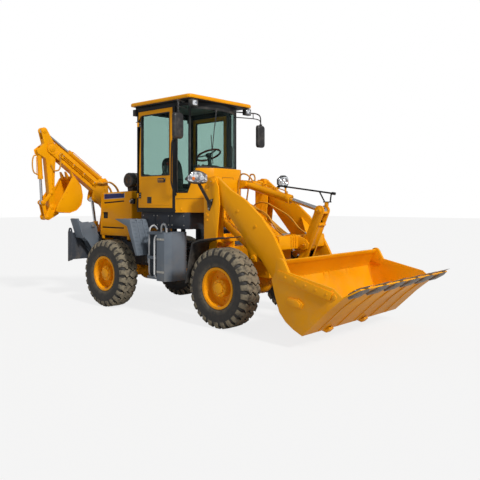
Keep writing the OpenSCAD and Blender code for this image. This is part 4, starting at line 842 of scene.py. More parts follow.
def cab():
    dark, seal = kit("root", "black_paint", 0.002), kit("root", "seal")
    arc_strip(seal, 3.082, 3.1205, 0.505)
    arc_strip(seal, 2.176, 2.228, 0.415)
    # Rear window's seals, ribs of the rear wall's panel
    seal.strip("x", -0.522, 0.522, 1.985, 3.122, 0.018, -0.7965, -0.779, 0.05)
    seal.strip("x", -0.526, 0.526, 1.98, 3.124, 0.024, -0.8015, -0.7955, 0.05)
    for y in (-0.3, 0.0, 0.3):
        dark.pillow("x", y - 0.1, y + 0.1, 1.62, 1.92, 0.03, [(-0.8045, 0.01), (-0.799, 0.0)])
    # Floor mat
    mat = kit("root", "seal", 0.002)
    mat.pillow("z", -0.74, 0.14, -0.54, 0.54, 0.03, [(1.5545, 0.0), (1.562, 0.0), (1.564, 0.004)])
    for i in range(12):
        x = -0.06 + i * 0.016
        mat.pillow("z", x, x + 0.008, -0.26, 0.26, 0.003, [(1.563, 0.0), (1.5665, 0.001)])


def cab_sides():
    for _, s in SIDES:
        seal, dark = kit("root", "seal", s=s), kit("root", "black_paint", 0.002, s=s)
        # Corner seams of the glass
        seal.tube([(0.3035, 0.5085, 2.0), (0.3035, 0.5085, 3.12)], 0.011, 8)
        seal.tube([(0.118, 0.5955, 1.83), (0.118, 0.5955, 3.115)], 0.009, 8)
        seal.tube([(0.118, 0.597, 1.832), (0.272, 0.505, 1.832)], 0.009, 8)
        # Rubber mounts and bolts along the cab's foot
        for x in (-0.7, -0.3, 0.08):
            seal.cyl((x, 0.5, 1.5), (x, 0.5, 1.5305), 0.042, 20)
            dark.bolt((x + 0.02, 0.6205, 1.56), Y, 0.01, 0.007)
        # Grab tube on the door's post
        dark.tube([(0.082, 0.612, 2.62), (0.082, 0.668, 2.6), (0.07, 0.672, 2.3), (0.07, 0.672, 1.96),
                   (0.098, 0.655, 1.86), (0.104, 0.617, 1.8)], 0.0115)
        for x, z in ((0.082, 2.62), (0.103, 1.8)):
            dark.cyl((x, 0.61, z), (x, 0.624, z), 0.022, 16)
        # Work lamps' lenses
        glass, rim = kit("root", "lens", s=s), kit("root", "chrome", s=s)
        for x, z, way in ((0.5, 3.13, 1), (-0.87, 3.11, -1)):
            steps = [(x - way * 0.004, 0.0), (x + way * 0.001, 0.002)]
            rim.pillow("x", 0.545, 0.645, z - 0.038, z + 0.038, 0.02, steps)
            steps = [(x, 0.0), (x + way * 0.003, 0.003), (x + way * 0.005, 0.014)]
            glass.pillow("x", 0.549, 0.641, z - 0.034, z + 0.034, 0.018, steps)


def cowl():
    """Seams and fasteners of the front cowl."""
    seam_r, low, high = 0.0022, 1.735, 2.055
    seam = kit("root", "seal")
    seam.tube([(0.601, -0.12, low), (0.601, 0.12, low)], seam_r, 6)
    seam.tube([(0.6008, -0.12, high), (0.6008, 0.12, high)], seam_r, 6)
    for _, s in SIDES:
        seam, yellow = kit("root", "seal", s=s), kit("root", "yellow_paint", 0.003, s=s)
        seam.tube([(0.6008, 0.12, high), (0.6008, 0.12, low)], seam_r, 6)
        corners = ((0.601, 0.12), (0.591, 0.29), (0.471, 0.451), (0.115, 0.6185))
        for (xa, ya), (xb, yb) in zip(corners, corners[1:]):
            seam.tube([(xa + 0.0005, ya, low), (xb + 0.0005, yb + 0.0005, low)], seam_r, 6)
        for z in (1.58, 1.68):
            yellow.bolt((0.5955, 0.205, z), (1, 0.06, 0), 0.009, 0.006)


def doors():
    for side, s in SIDES:
        body = f"door_{side}"
        seal, zinc = kit(body, "seal", s=s), kit(body, "zinc", s=s)
        black = kit(body, "black_plastic", 0.003, s=s)
        seal.strip("y", -0.7075, -0.0265, 2.0885, 3.0535, 0.014, 0.586, 0.6195, 0.04)
        seal.strip("y", -0.772, 0.038, 1.592, 3.118, 0.009, 0.583, 0.612, 0.01)
        # Raised edge of the lower panel
        edge = kit(body, "yellow_paint", 0.003, s=s)
        edge.strip("y", -0.735, 0.0, 1.64, 2.062, 0.01, 0.612, 0.6205)
        # Square vent
        black.box((-0.548, 0.612, 1.667), (-0.448, 0.6215, 1.767))
        for i in range(5):
            z = 1.676 + i * 0.018
            black.box((-0.54, 0.618, z), (-0.456, 0.6245, z + 0.008))
        # Handle: a plate, the grip and the lock's button
        black.pillow("y", -0.3, -0.12, 1.985, 2.055, 0.02, [(0.6165, 0.0), (0.6225, 0.0), (0.624, 0.003)])
        grip = [(-0.275, 0.622, 2.02), (-0.27, 0.642, 2.02), (-0.15, 0.642, 2.02), (-0.145, 0.622, 2.02)]
        black.tube(grip, 0.0095, 10, 0.02)
        zinc.cyl((-0.135, 0.622, 2.04), (-0.135, 0.627, 2.04), 0.009, 16)
        # Hinges
        for z in (1.791, 2.915):
            black.box((-0.775, 0.6185, z - 0.045), (-0.7, 0.624, z + 0.045))
            for x in (-0.738, -0.715):
                zinc.bolt((x, 0.6242, z + 0.02), Y, 0.006, 0.004)
                zinc.bolt((x, 0.6242, z - 0.02), Y, 0.006, 0.004)


def seat():
    base = kit("root", "black_plastic", 0.004, "seat")
    base.pillow("z", -0.515, -0.185, -0.145, 0.145, 0.03,
                [(1.556, 0.0), (1.62, 0.018), (1.74, 0.018), (1.79, 0.0), (1.795, 0.0)])
    for i in range(5):
        shift, z = 0.004 * (i % 2), 1.635 + i * 0.02
        base.pillow("z", -0.505 - shift, -0.195 + shift, -0.135, 0.135, 0.03, [(z, 0.0), (z + 0.01, 0.0)])
    kit("root", "black_paint", 0.003).box((-0.545, -0.19, 1.795), (-0.145, 0.19, 1.806))
    channels = [("x", -0.07), ("x", 0.06), ("y", -0.15), ("y", 0.15)]
    pad = cushion("seat_cushion", "root", (-0.575, -0.228, 1.805), (-0.112, 0.228, 1.903), channels)
    tilt, heel = Matrix.Rotation(math.radians(-10), 3, "Y"), (-0.54, 0, 1.9)
    channels = [("z", -0.12), ("z", 0.02), ("y", -0.145), ("y", 0.145)]
    cushion("seat_back", "root", (-0.64, -0.212, 1.915), (-0.555, 0.212, 2.44), channels, tilt, heel)
    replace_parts(pad, "seat")
    base.box((-0.596, -0.17, 1.83), (-0.575, 0.17, 2.35), tilt, heel)


def dash():
    column = kit("root", "dash", 0.0, "dash")
    rings = ((1.556, 0.155, 0.28, 0.125), (1.95, 0.155, 0.282, 0.125), (2.06, 0.14, 0.292, 0.14),
             (2.15, 0.118, 0.3, 0.165), (2.21, 0.12, 0.302, 0.17), (2.245, 0.14, 0.296, 0.16),
             (2.258, 0.17, 0.28, 0.135))
    column.loft([column.flat("z", z, loop_of(x0, x1, -y, y, 0.05)) for z, x0, x1, y in rings])
    for y in (-0.09, 0.0, 0.09):
        kit("root", "black_plastic", 0.0, "dash").cyl((0.128, y, 2.205), (0.146, y, 2.245), 0.028, 20)


def steering_wheel():
    centre, lean = Vector((0.19, 0, 2.42)), math.radians(24)
    up = Vector((-math.sin(lean), 0, math.cos(lean)))
    v = up.cross(Y)
    rim, hub = Kit(), kit("root", "black_plastic", 0.0, "wheel")
    rings = []
    for i, p in enumerate(circle(centre, Y, v, 0.19, 64)):
        # Ten grips round the rim
        r = 0.0155 + 0.0012 * math.cos(10 * 2 * math.pi * i / 64)
        rings.append(circle(p, (p - centre).normalized(), up, r, 12))
    rim.loft(rings, loop=True)
    hub.cyl(centre - up * 0.02, centre + up * 0.018, 0.046)
    hub.knob(centre + up * 0.016, centre + up * 0.026, 0.034, 0.006)
    hub.cyl((0.225, 0, 2.24), centre - up * 0.02, 0.03, 20)
    for a in (30, 150, 270):
        out = Y * math.cos(math.radians(a)) + v * math.sin(math.radians(a))
        side = up.cross(out) * 0.012
        near, far = centre + out * 0.04 + up * 0.004, centre + out * 0.186 + up * 0.004
        hub.slab([near - side * 1.4, near + side * 1.4, far + side, far - side], up * -0.01)
    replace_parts(finish(rim, "wheel_root_wood_rim", "root", "wood_rim"), "controls")


def consoles():
    knob = [(-0.03, 0.002), (-0.026, 0.01), (-0.005, 0.019), (0.012, 0.0215), (0.022, 0.016), (0.026, 0.002)]
    cap = [(1.972, 0.0), (2.08, 0.002), (2.112, 0.012), (2.122, 0.028)]
    for _, s in SIDES:
        looks = ("black_plastic", "red_plastic", "chrome")
        box, red, steel = (kit("root", mat, 0.0, "console", s) for mat in looks)
        black = kit("root", "black_plastic", 0.0, "knobs", s)
        box.pillow("z", -0.558, -0.252, 0.292, 0.398, 0.03, [(1.556, 0.0), (1.93, 0.0), (1.975, 0.004)])
        red.pillow("z", -0.56, -0.25, 0.29, 0.4, 0.03, cap)
        for x, colour in ((-0.48, black), (-0.38, red), (-0.28, black)):
            foot, top = Vector((x - 0.02, 0.345, 2.115)), Vector((x, 0.345, 2.29))
            box.cyl(foot, foot + Vector((0.003, 0, 0.03)), 0.024, 16, 0.012)
            steel.cyl(foot, top, 0.0062, 10)
            colour.spin(knob, top, (0.12, 0, 1), 16)
    # Pedals
    pad, lean = kit("root", "seal", 0.002, "pedals"), Matrix.Rotation(math.radians(-35), 3, "Y")
    for y in (-0.21, 0.2):
        pad.box((0.165, y - 0.04, 1.64), (0.175, y + 0.04, 1.76), lean)
        pad.cyl((0.175, y, 1.68), (0.215, y, 1.565), 0.008, 8)


# Lamps and mirrors
# Plan and height of a headlamp from its outer tip inward: x, distance from the middle, low, high
LAMP = ((0.868, 1.14, 1.975, 2.005), (0.905, 1.115, 1.945, 2.055), (0.935, 1.07, 1.93, 2.1),
        (0.95, 1.01, 1.927, 2.116), (0.957, 0.94, 1.927, 2.112), (0.957, 0.86, 1.93, 2.098),
        (0.95, 0.805, 1.94, 2.078), (0.93, 0.782, 1.96, 2.055))
LAMP_HEART = Vector((0.846, 0.945))


def lamp_ring(k, x, y, low, high, near, far, inset, square):
    """A rounded ring across the lamp; near and far run from the front towards its heart."""
    front = Vector((x, y))
    way = LAMP_HEART - front
    a, b = front + way.normalized() * near, front + way * far
    ring = []
    for i in range(24):
        t = 2 * math.pi * i / 24
        c, v = (math.copysign(abs(w) ** square, w) for w in (math.cos(t), math.sin(t)))
        p = (a + b) / 2 + (a - b) / 2 * c
        ring.append(k.at((p.x, p.y, (low + high) / 2 + ((high - low) / 2 - inset) * v)))
    return ring


def headlamps():
    shell = Kit()
    for _, s in SIDES:
        k, clear = Kit(shell.bm, s), kit("front_frame", "lens", 0.0, "lamps", s)
        amber, bowl = (kit("front_frame", mat, 0.0, "lamps", s) for mat in ("amber", "chrome"))
        k.loft([lamp_ring(k, *row, 0.0, 0.85, 0.0, 0.4) for row in LAMP])
        clear.loft([lamp_ring(clear, *row, -0.006, 0.08, 0.025, 0.55) for row in LAMP[1:-1]])
        blinker = [(-0.01, 0.002), (-0.008, 0.026), (0.001, 0.024), (0.005, 0.014), (0.006, 0.002)]
        amber.spin(blinker, (0.9465, 1.057, 2.0), (0.85, 0.53, 0), 24)
        for y, x in ((0.968, 0.963), (0.87, 0.9645)):
            for r in (0.046, 0.033, 0.019):
                ring = [(0.0, r), (0.0025, r + 0.003), (0.0, r + 0.006), (-0.004, r + 0.003)]
                bowl.spin(ring, (x, y, 2.018), (1, 0.04, 0), 28)
        # Bracket from the lamp to the tower's plate, with its three-cornered foot
        bracket = [(0.89, 0.905, 1.945), (0.878, 0.87, 1.915), (0.85, 0.66, 1.68), (0.842, 0.64, 1.64)]
        k.tube(bracket, 0.023, 10, 0.03)
        foot = [(0.765, 1.7), (0.884, 1.732), (0.868, 1.66), (0.815, 1.56), (0.785, 1.575)]
        k.prism(foot, 0.6113, 0.6215)
        for x, z in ((0.795, 1.69), (0.86, 1.705), (0.803, 1.59)):
            kit("front_frame", "zinc", s=s).bolt((x, 0.6215, z), Y, 0.01, 0.008)
    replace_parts(finish(shell, "v_headlamps", "front_frame", "lamp_housing", "lamp_housing"), "headlamps")


def mirrors():
    shell = Kit()
    back = [(0.468, 0.004), (0.464, 0.0), (0.478, 0.0), (0.5, 0.004), (0.512, 0.014), (0.518, 0.034),
            (0.5195, 0.06)]
    for _, s in SIDES:
        k, silvered = Kit(shell.bm, s), kit("root", "mirror", s=s)
        k.pillow("x", 0.822, 1.008, 2.583, 2.948, 0.045, back)
        silvered.pillow("x", 0.832, 0.998, 2.593, 2.938, 0.036, [(0.4665, 0.0), (0.4645, 0.0)])
        upper = [(0.29, 0.53, 3.145), (0.43, 0.885, 3.145), (0.488, 0.915, 3.1), (0.492, 0.915, 2.93)]
        lower = [(0.29, 0.53, 3.06), (0.405, 0.845, 3.06), (0.47, 0.912, 3.04), (0.49, 0.915, 2.99)]
        k.tube(upper, 0.0105)
        k.tube(lower, 0.0085, 8)
        k.tube([(0.405, 0.822, 3.145), (0.402, 0.83, 3.06)], 0.007, 8)
        k.box((0.478, 0.895, 2.9), (0.508, 0.935, 2.965))
    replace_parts(finish(shell, "v_mirrors", "root", "black_plastic", "black_plastic"), "mirrors")


# Hood and what stands on it
HOOD = [(-2.01, 1.11), (-1.12, 1.11), (-1.12, 1.874), (-1.95, 1.85), (-1.984, 1.81)]
HOOD_INSIDE = [(-1.996, 1.09), (-1.134, 1.09), (-1.134, 1.86), (-1.943, 1.836), (-1.97, 1.805)]
HOOD_SLOTS = (
    [(-1.886, 1.66), (-1.322, 1.694), (-1.322, 1.716), (-1.886, 1.684)],
    [(-1.945, 1.24), (-1.332, 1.24), (-1.322, 1.262), (-1.935, 1.266)],
    [(-1.915, 1.405), (-1.775, 1.405), (-1.775, 1.515), (-1.915, 1.515)],
)
REAR_OPENING = [(-2.05, 1.205), (-1.95, 1.205), (-1.95, 1.735), (-2.05, 1.735)]


def solid(name, outline, a, b, s=1):
    k = Kit()
    k.prism(outline, *sorted((s * a, s * b)))
    return place(name, mesh_of(k.bm, name))


def cut(obj, tools):
    for tool in tools:
        mod = obj.modifiers.new("cut", "BOOLEAN")
        mod.operation, mod.object, mod.solver = "DIFFERENCE", tool, "EXACT"
    apply_modifiers(obj)
    for tool in tools:
        mesh = tool.data
        bpy.data.objects.remove(tool)
        bpy.data.meshes.remove(mesh)


def hood():
    shell = solid("v_engine_hood", HOOD, -0.48, 0.48)
    bevel(shell, 0.03, 20, 5)
    tools = [solid("core", HOOD_INSIDE, -0.466, 0.466)]
    tools += [solid("slot", outline, 0.44, 0.5, s) for _, s in SIDES for outline in HOOD_SLOTS]
    tools.append(solid("grille", REAR_OPENING, -0.365, 0.365))
    cut(shell, tools)
    shell.data.materials.clear()
    shell.data.materials.append(MATS["yellow_paint"])
    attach(shell, "root")
    bevel(shell, 0.0025, 50)
    smooth_by_angle(shell.data, 40)
    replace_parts(shell, "engine_hood")


def hood_sides():
    for _, s in SIDES:
        dark, yellow = kit("root", "seal", s=s), kit("root", "yellow_paint", 0.003, s=s)
        zinc, black = kit("root", "zinc", s=s), kit("root", "black_paint", 0.002, s=s)
        # Dark sheets behind the slots, painted shade in place of the hood's unlit inside, and bars
        for x0, x1, z0, z1 in ((-1.9, -1.31, 1.645, 1.73), (-1.96, -1.31, 1.225, 1.28),
                               (-1.93, -1.76, 1.39, 1.53)):
            dark.box((x0, 0.445, z0), (x1, 0.455, z1))
        for i in range(6):
            x = -1.908 + i * 0.022
            dark.box((x, 0.455, 1.408), (x + 0.008, 0.47, 1.512))
        # Pressed panel line, hinges, latch with its catch on the cab's side
        yellow.strip("y", -1.965, -1.17, 1.16, 1.8, 0.006, 0.4785, 0.4825, 0.04)
        for x in (-1.84, -1.4):
            yellow.cyl((x, 0.484, 1.835), (x + 0.07, 0.484, 1.8375), 0.008, 12)
        black.box((-1.135, 0.47, 1.66), (-1.035, 0.5, 1.745))
        zinc.cyl((-1.12, 0.5, 1.7), (-1.12, 0.516, 1.7), 0.016, 16)
        zinc.tube([(-1.12, 0.512, 1.7), (-1.09, 0.514, 1.725), (-1.055, 0.506, 1.728)], 0.006, 8)
        # Blank sign plate in its frame
        plate = [(-1.868, 1.742), (-1.316, 1.764), (-1.316, 1.838), (-1.868, 1.822)]
        kit("root", "sign", s=s).prism(plate, 0.48, 0.4835)
        border = [(-1.876, 1.736), (-1.308, 1.758), (-1.308, 1.845), (-1.876, 1.829)]
        kit("root", "silver", s=s).prism(border, 0.4795, 0.4826)
        for x in (-1.93, -1.2):
            yellow.bolt((x, 0.4805, 1.135), Y, 0.01, 0.007)
        # Feet and rubber blocks
        for x in (-1.95, -1.24):
            yellow.box((x, 0.27, 1.0305), (x + 0.06, 0.479, 1.06))
            yellow.box((x, 0.45, 1.0305), (x + 0.06, 0.479, 1.115))
            dark.cyl((x + 0.03, 0.33, 1.06), (x + 0.03, 0.33, 1.072), 0.028, 16)


def rear_grille():
    """Radiator's core and guard bars behind the rear opening."""
    kit("root", "seal").box((-1.965, -0.4, 1.19), (-1.955, 0.4, 1.75))
    bars = kit("root", "black_plastic", 0.0, "grille")
    for i in range(17):
        z = 1.222 + i * 0.0305
        bars.box((-2.0, -0.362, z), (-1.988, 0.362, z + 0.01))
    for i in range(9):
        y = -0.32 + i * 0.08
        bars.box((-1.99, y - 0.004, 1.207), (-1.982, y + 0.004, 1.733))
    bars.strip("x", -0.372, 0.372, 1.198, 1.742, 0.016, -2.0125, -1.995, 0.02)


# The air cleaner's drum from its right end: place along y, radius
DRUM = ((-0.4, 0.002), (-0.4, 0.04), (-0.396, 0.046), (-0.396, 0.092), (-0.4, 0.098), (-0.398, 0.112),
        (-0.388, 0.122), (-0.372, 0.1275), (-0.305, 0.1275), (-0.302, 0.124), (-0.27, 0.124),
        (-0.267, 0.1275), (-0.165, 0.1275), (-0.152, 0.122), (-0.148, 0.113), (0.04, 0.1135),
        (0.056, 0.106), (0.06, 0.092), (0.06, 0.06), (0.198, 0.058), (0.198, 0.002))


def air_cleaner():
    k, zinc = Kit(), kit("root", "zinc")
    x, z = -1.33, 2.056
    k.spin(DRUM, (x, 0, z), Y, 48)
    k.prism([(x - 0.06, 1.869), (x + 0.06, 1.8725), (x + 0.075, 1.96), (x - 0.075, 1.96)], -0.348, -0.202)
    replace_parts(finish(k, "v_air_cleaner", "root", "black_plastic", "black_plastic"), "air_cleaner")
    # Clamps with their screws, clips of the lid
    for y, r in ((-0.286, 0.1285), (0.085, 0.061), (0.165, 0.06)):
        clamp = [(-0.011, r - 0.003), (-0.011, r + 0.0012), (0.011, r + 0.0012), (0.011, r - 0.003)]
        zinc.spin(clamp, (x, y, z), Y, 48)
        zinc.cyl((x + 0.5 * r, y - 0.012, z + 0.88 * r), (x + 0.5 * r, y + 0.012, z + 0.88 * r), 0.008, 12)
    for turn in (40, 160, 280):
        out = Vector((math.cos(math.radians(turn)), 0, math.sin(math.radians(turn))))
        a = Vector((x, -0.315, z)) + out * 0.131
        zinc.tube([a, a + out * 0.006 + Y * 0.03, a + Y * 0.075], 0.0025, 6)
    # Pipe from the drum down into the hood
    pipe = [(x, 0.185, z), (x, 0.225, z), (x + 0.03, 0.25, z - 0.1), (x + 0.03, 0.25, 1.868)]
    kit("root", "black_plastic").tube(pipe, 0.05, 20, 0.07)


# Steps, tank and fenders
def hand_rails(silver):
    hoop = [(0.01, 0.81, 1.23), (0.01, 0.81, 1.33), (0.06, 0.81, 1.37), (0.12, 0.81, 1.33),
            (0.12, 0.81, 1.23)]
    tank_rail = [(-0.08, 0.828, 0.56), (-0.08, 0.87, 0.6), (-0.08, 0.87, 1.12), (-0.06, 0.87, 1.18),
                 (-0.01, 0.85, 1.2)]
    step_rail = [(-0.262, 0.786, 0.57), (-0.262, 0.815, 0.62), (-0.262, 0.815, 1.1), (-0.275, 0.795, 1.3),
                 (-0.285, 0.7, 1.34), (-0.28, 0.64, 1.27)]
    silver.tube(hoop, 0.0145, 12)
    silver.tube(tank_rail, 0.0135, 12, 0.03)
    silver.tube(step_rail, 0.0125)


def side_steps():
    for _, s in SIDES:
        grey, dark = kit("root", "light_grey_paint", 0.002, s=s), kit("root", "black_plastic", 0.003, s=s)
        zinc, seam = kit("root", "zinc", s=s), kit("root", "light_grey_paint", 0.0015, "seams", s)
        hand_rails(kit("root", "silver", s=s))
        # Filler neck and cap inside the hoop
        neck = [(0.0, 0.002), (0.0, 0.04), (0.012, 0.046), (0.04, 0.046), (0.05, 0.038), (0.052, 0.002)]
        dark.spin(neck, (0.065, 0.745, 1.24), Z, 24)
        for i in range(8):
            t = math.pi * i / 4
            x, y = 0.065 + 0.045 * math.cos(t), 0.745 + 0.045 * math.sin(t)
            dark.box((x - 0.004, y - 0.004, 1.254), (x + 0.004, y + 0.004, 1.28))
        # Tank's straps, drain and wrapped sheet's seams
        for z in (0.64, 1.12):
            zinc.box((-0.028, 0.868, z), (0.138, 0.8725, z + 0.03))
            zinc.bolt((0.06, 0.8725, z + 0.015), Y, 0.01, 0.008)
        zinc.bolt((0.1, 0.66, 0.5195), -Z, 0.016, 0.012)
        wrap = ((-0.028, 0.8715), (0.14, 0.8715), (0.2012, 0.7805), (0.2012, 0.5))
        for z in (0.527, 1.233):
            seam.tube([(x, y, z) for x, y in wrap], 0.004, 8)
        # Studs and front edges of the steps
        for z in (0.5742, 0.8742, 1.2402):
            for i in range(6):
                for j in range(5):
                    x, y = -0.262 + i * 0.042, 0.6 + j * 0.048
                    grey.box((x, y, z), (x + 0.022, y + 0.022, z + 0.0035))
            grey.box((-0.289, 0.8295, z - 0.04), (-0.031, 0.8345, z + 0.004))


def fenders():
    # The rear fender's slope ahead of the wheel: its upper edge, way out, and way down
    slope, out = Vector((-0.63, 0, 1.42)), Vector((0.945, 0, 0.327))
    down = Vector((0.19, 0, -0.55)).normalized()
    for _, s in SIDES:
        grey, zinc = kit("root", "light_grey_paint", 0.0015, s=s), kit("root", "zinc", s=s)
        for y in (0.577, 0.69, 0.804):
            for i in range(9):
                top = slope + down * (0.035 + i * 0.06) + out * 0.0012
                near, far = top + Y * (y + 0.012), top + Y * (y + 0.068)
                grey.slab([near, far, far + down * 0.02, near + down * 0.02], out * 0.004)
        for x in (-0.98, -0.82, -0.68):
            zinc.bolt((x, 0.72, 1.4205), Z, 0.009, 0.006)
        # Front fender: rolled edge and bolts to the tower
        rim = [(0.672, 0.56), (0.8, 1.12), (0.95, 1.172), (1.41, 1.222)]
        edge = kit("front_frame", "black_plastic", 0.002, s=s)
        edge.tube([(x, 0.9475, z) for x, z in rim], 0.0065, 8, 0.03)
        for x, z in ((0.731, 0.83), (0.771, 1.01), (0.876, 1.162)):
            kit("front_frame", "zinc", s=s).bolt((x, 0.66, z), (-0.6, 0, 0.8), 0.009, 0.006)


# Loader
def pin_cap(body, x, y, z, s, r):
    """Keeper plate with two bolts and a grease nipple on a pin's end."""
    k = kit(body, "yellow_paint", 0.002, s=s)
    k.knob((x, y, z), (x, y + 0.01, z), r, 0.004, 28)
    for way in (-1, 1):
        k.bolt((x + way * r * 0.55, y + 0.01, z), Y, 0.008, 0.006)
    kit(body, "zinc", s=s).cyl((x, y + 0.01, z), (x, y + 0.018, z), 0.005, 10, 0.003)


# Body, x, distance from the middle, z and radius of the caps on the loader's pins
LOADER_PINS = (
    ("front_frame", 0.86, 0.623, 1.975, 0.04),
    ("loader_bucket", 2.19, 0.6035, 0.44, 0.044),
    ("lift_arms", 2.081, 0.11, 1.112, 0.034),
    ("rocker", 2.302, 0.096, 1.571, 0.036),
    ("rocker", 1.92, 0.081, 0.665, 0.03),
    ("lift_arms", 1.585, 0.5675, 0.933, 0.046),
)
TOWER_BOLTS = ((0.745, 1.925), (0.775, 1.9), (0.752, 1.85), (0.748, 1.525), (0.776, 1.495), (0.765, 1.425))


def loader():
    for _, s in SIDES:
        for body, x, y, z, r in LOADER_PINS:
            pin_cap(body, x, y, z, s, r)
        yellow = kit("front_frame", "yellow_paint", 0.002, s=s)
        for x, z in TOWER_BOLTS:
            yellow.bolt((x, 0.6112, z), Y, 0.014, 0.011)
        # Weld seams at the foot of the tower and round the stiffeners
        yellow.tube([(0.724, 0.6125, 1.162), (0.938, 0.6125, 1.162)], 0.005, 8)
        yellow.tube([(0.7245, 0.6125, 1.02), (0.7245, 0.6125, 1.16)], 0.005, 8)
        arm = kit("lift_arms", "yellow_paint", 0.002, s=s)
        seam = ((1.85, 1.058), (1.85, 1.237), (1.986, 1.237), (1.986, 1.058), (1.85, 1.058))
        arm.tube([(x, 0.5215, z) for x, z in seam], 0.006, 8)
        for x, z in ((1.62, 1.36), (1.3, 1.56)):
            arm.knob((x, 0.5675, z), (x, 0.5745, z), 0.022, 0.003, 20)
        # Three-cornered gusset between the arm and the cross box
        top = [(1.585, 0.52, 1.48), (1.865, 0.52, 1.236), (1.81, 0.33, 1.232)]
        bottom = [(1.59, 0.52, 1.466), (1.855, 0.52, 1.226), (1.805, 0.33, 1.222)]
        arm.loft([[arm.at(p) for p in corners] for corners in (top, bottom)])
        lift_cylinder(s)
    # Front plate of the rocker with its slot edge
    rock = kit("rocker", "yellow_paint", 0.004)
    rock.prism([(2.286, 1.372), (2.306, 1.368), (2.312, 1.39), (2.294, 1.398)], -0.079, 0.079)
    rock.prism([(2.344, 1.525), (2.364, 1.53), (2.361, 1.56), (2.342, 1.556)], -0.079, 0.079)


def level_rod():
    """Over the tilt cylinder: guide post on the barrel, rod and V bracket at the rocker's pin."""
    post = kit("tilt_barrel", "yellow_paint", 0.003)
    post.cyl((1.692, 0, 1.775), (1.694, 0, 1.905), 0.013, 16)
    post.box((1.668, -0.022, 1.762), (1.716, 0.022, 1.79))
    guide = [(-0.018, 0.0135), (-0.018, 0.02), (0.018, 0.02), (0.018, 0.0135)]
    kit("tilt_barrel", "black_paint").spin(guide, (1.694, 0, 1.898), (0.991, 0, -0.132), 20)
    rod = kit("tilt_rod", "black_paint")
    rod.tube([(1.6, 0, 1.9105), (2.48, 0, 1.793)], 0.0115, 14)
    rod.cyl((2.452, 0, 1.7967), (2.5, 0, 1.7903), 0.019, 16)
    rod.tube([(2.255, 0, 1.8225), (2.335, 0, 1.69)], 0.01)
    rod.tube([(2.441, 0, 1.798), (2.424, 0, 1.684)], 0.01)
    rod.box((2.322, -0.014, 1.676), (2.436, 0.014, 1.69))
    stub = [(2.345, 1.612), (2.385, 1.612), (2.392, 1.678), (2.345, 1.678)]
    kit("tilt_rod", "yellow_paint", 0.003).prism(stub, -0.018, 0.018)


def tilt_cylinder():
    """Ports, pipe and its clamps along the barrel's upper side."""
    k, zinc, r = kit("tilt_barrel", "yellow_paint", 0.002), kit("tilt_barrel", "zinc"), 0.056
    foot = Vector((0.98, 0, 1.95))
    d = (Vector((2.302, 0, 1.571)) - foot).normalized()
    up = Vector((-d.z, 0, d.x))

    def at(along, out):
        return foot + d * along + up * (r + out)

    for along in (0.115, 0.745):
        k.cyl(at(along, -0.004), at(along, 0.022), 0.017, 16)
        zinc.cyl(at(along, 0.022), at(along, 0.034), 0.014, 6)
    pipe = [at(0.745, 0.03), at(0.7, 0.036), at(0.18, 0.03)]
    kit("tilt_barrel", "yellow_paint").tube(pipe, 0.0075, 10, 0.03)
    grow = Vector((0, 0.016, 0.004))
    for along in (0.3, 0.52):
        k.box(at(along - 0.012, -0.003) - grow, at(along + 0.012, 0.038) + grow)


def lift_cylinder(s):
    k = kit("lift_barrels", "yellow_paint", 0.002, s=s)
    base, end = Vector((0.83, 0.413, 1.46)), Vector((1.585, 0.413, 0.933))
    d = (end - base).normalized()

    def at(along, out):
        return base + d * along + Vector((-d.z, 0, d.x)) * out

    for along in (0.1, 0.74):
        k.cyl(at(along, 0.046), at(along, 0.07), 0.015, 16)
    k.tube([at(0.74, 0.066), at(0.7, 0.072), at(0.14, 0.066)], 0.007, 10, 0.03)
    for along in (0.28, 0.52):
        k.cyl(at(along - 0.012, 0.064), at(along + 0.012, 0.064), 0.012, 12)
    kit("lift_rods", "zinc", s=s).cyl((1.585, 0.455, 0.933), (1.585, 0.462, 0.933), 0.006, 10)


# Outlines on and under the loader's bucket, as (x, z)
PAD = [(2.556, 0.535), (2.589, 0.583), (2.74, 0.578), (2.801, 0.532), (2.777, 0.479), (2.627, 0.486)]
TOP_STRIP = [(2.453, 0.892), (3.195, 0.704), (3.15, 0.617), (2.44, 0.795)]
SHELL_SEAM = [(2.47, 0.995), (2.3455, 0.767), (2.392, 0.6), (2.459, 0.404), (2.55, 0.303), (2.659, 0.231),
              (2.779, 0.176), (3.098, 0.478), (3.31, 0.65)]
RIB = [(2.3445, 0.765), (2.3905, 0.598), (2.4575, 0.401), (2.5485, 0.299), (2.53, 0.285), (2.44, 0.392),
       (2.374, 0.59), (2.34, 0.74)]
WEAR_STRIP = [(2.79, 0.186), (3.098, 0.48), (3.33, 0.66), (3.338, 0.65), (3.106, 0.469), (2.798, 0.176)]
HEEL_BLOCK = [(2.69, 0.214), (2.79, 0.172), (2.83, 0.205), (2.845, 0.18), (2.795, 0.135), (2.69, 0.165)]
EDGE_TOP = [(3.392, 0.711), (3.508, 0.7715), (3.516, 0.769), (3.396, 0.702)]
EDGE_PLATE = [(3.352, 0.676), (3.518, 0.763), (3.526, 0.756), (3.486, 0.712), (3.372, 0.644)]
HOLDER = [(3.318, 0.676), (3.34, 0.706), (3.425, 0.756), (3.5, 0.784), (3.52, 0.774), (3.5, 0.76)]


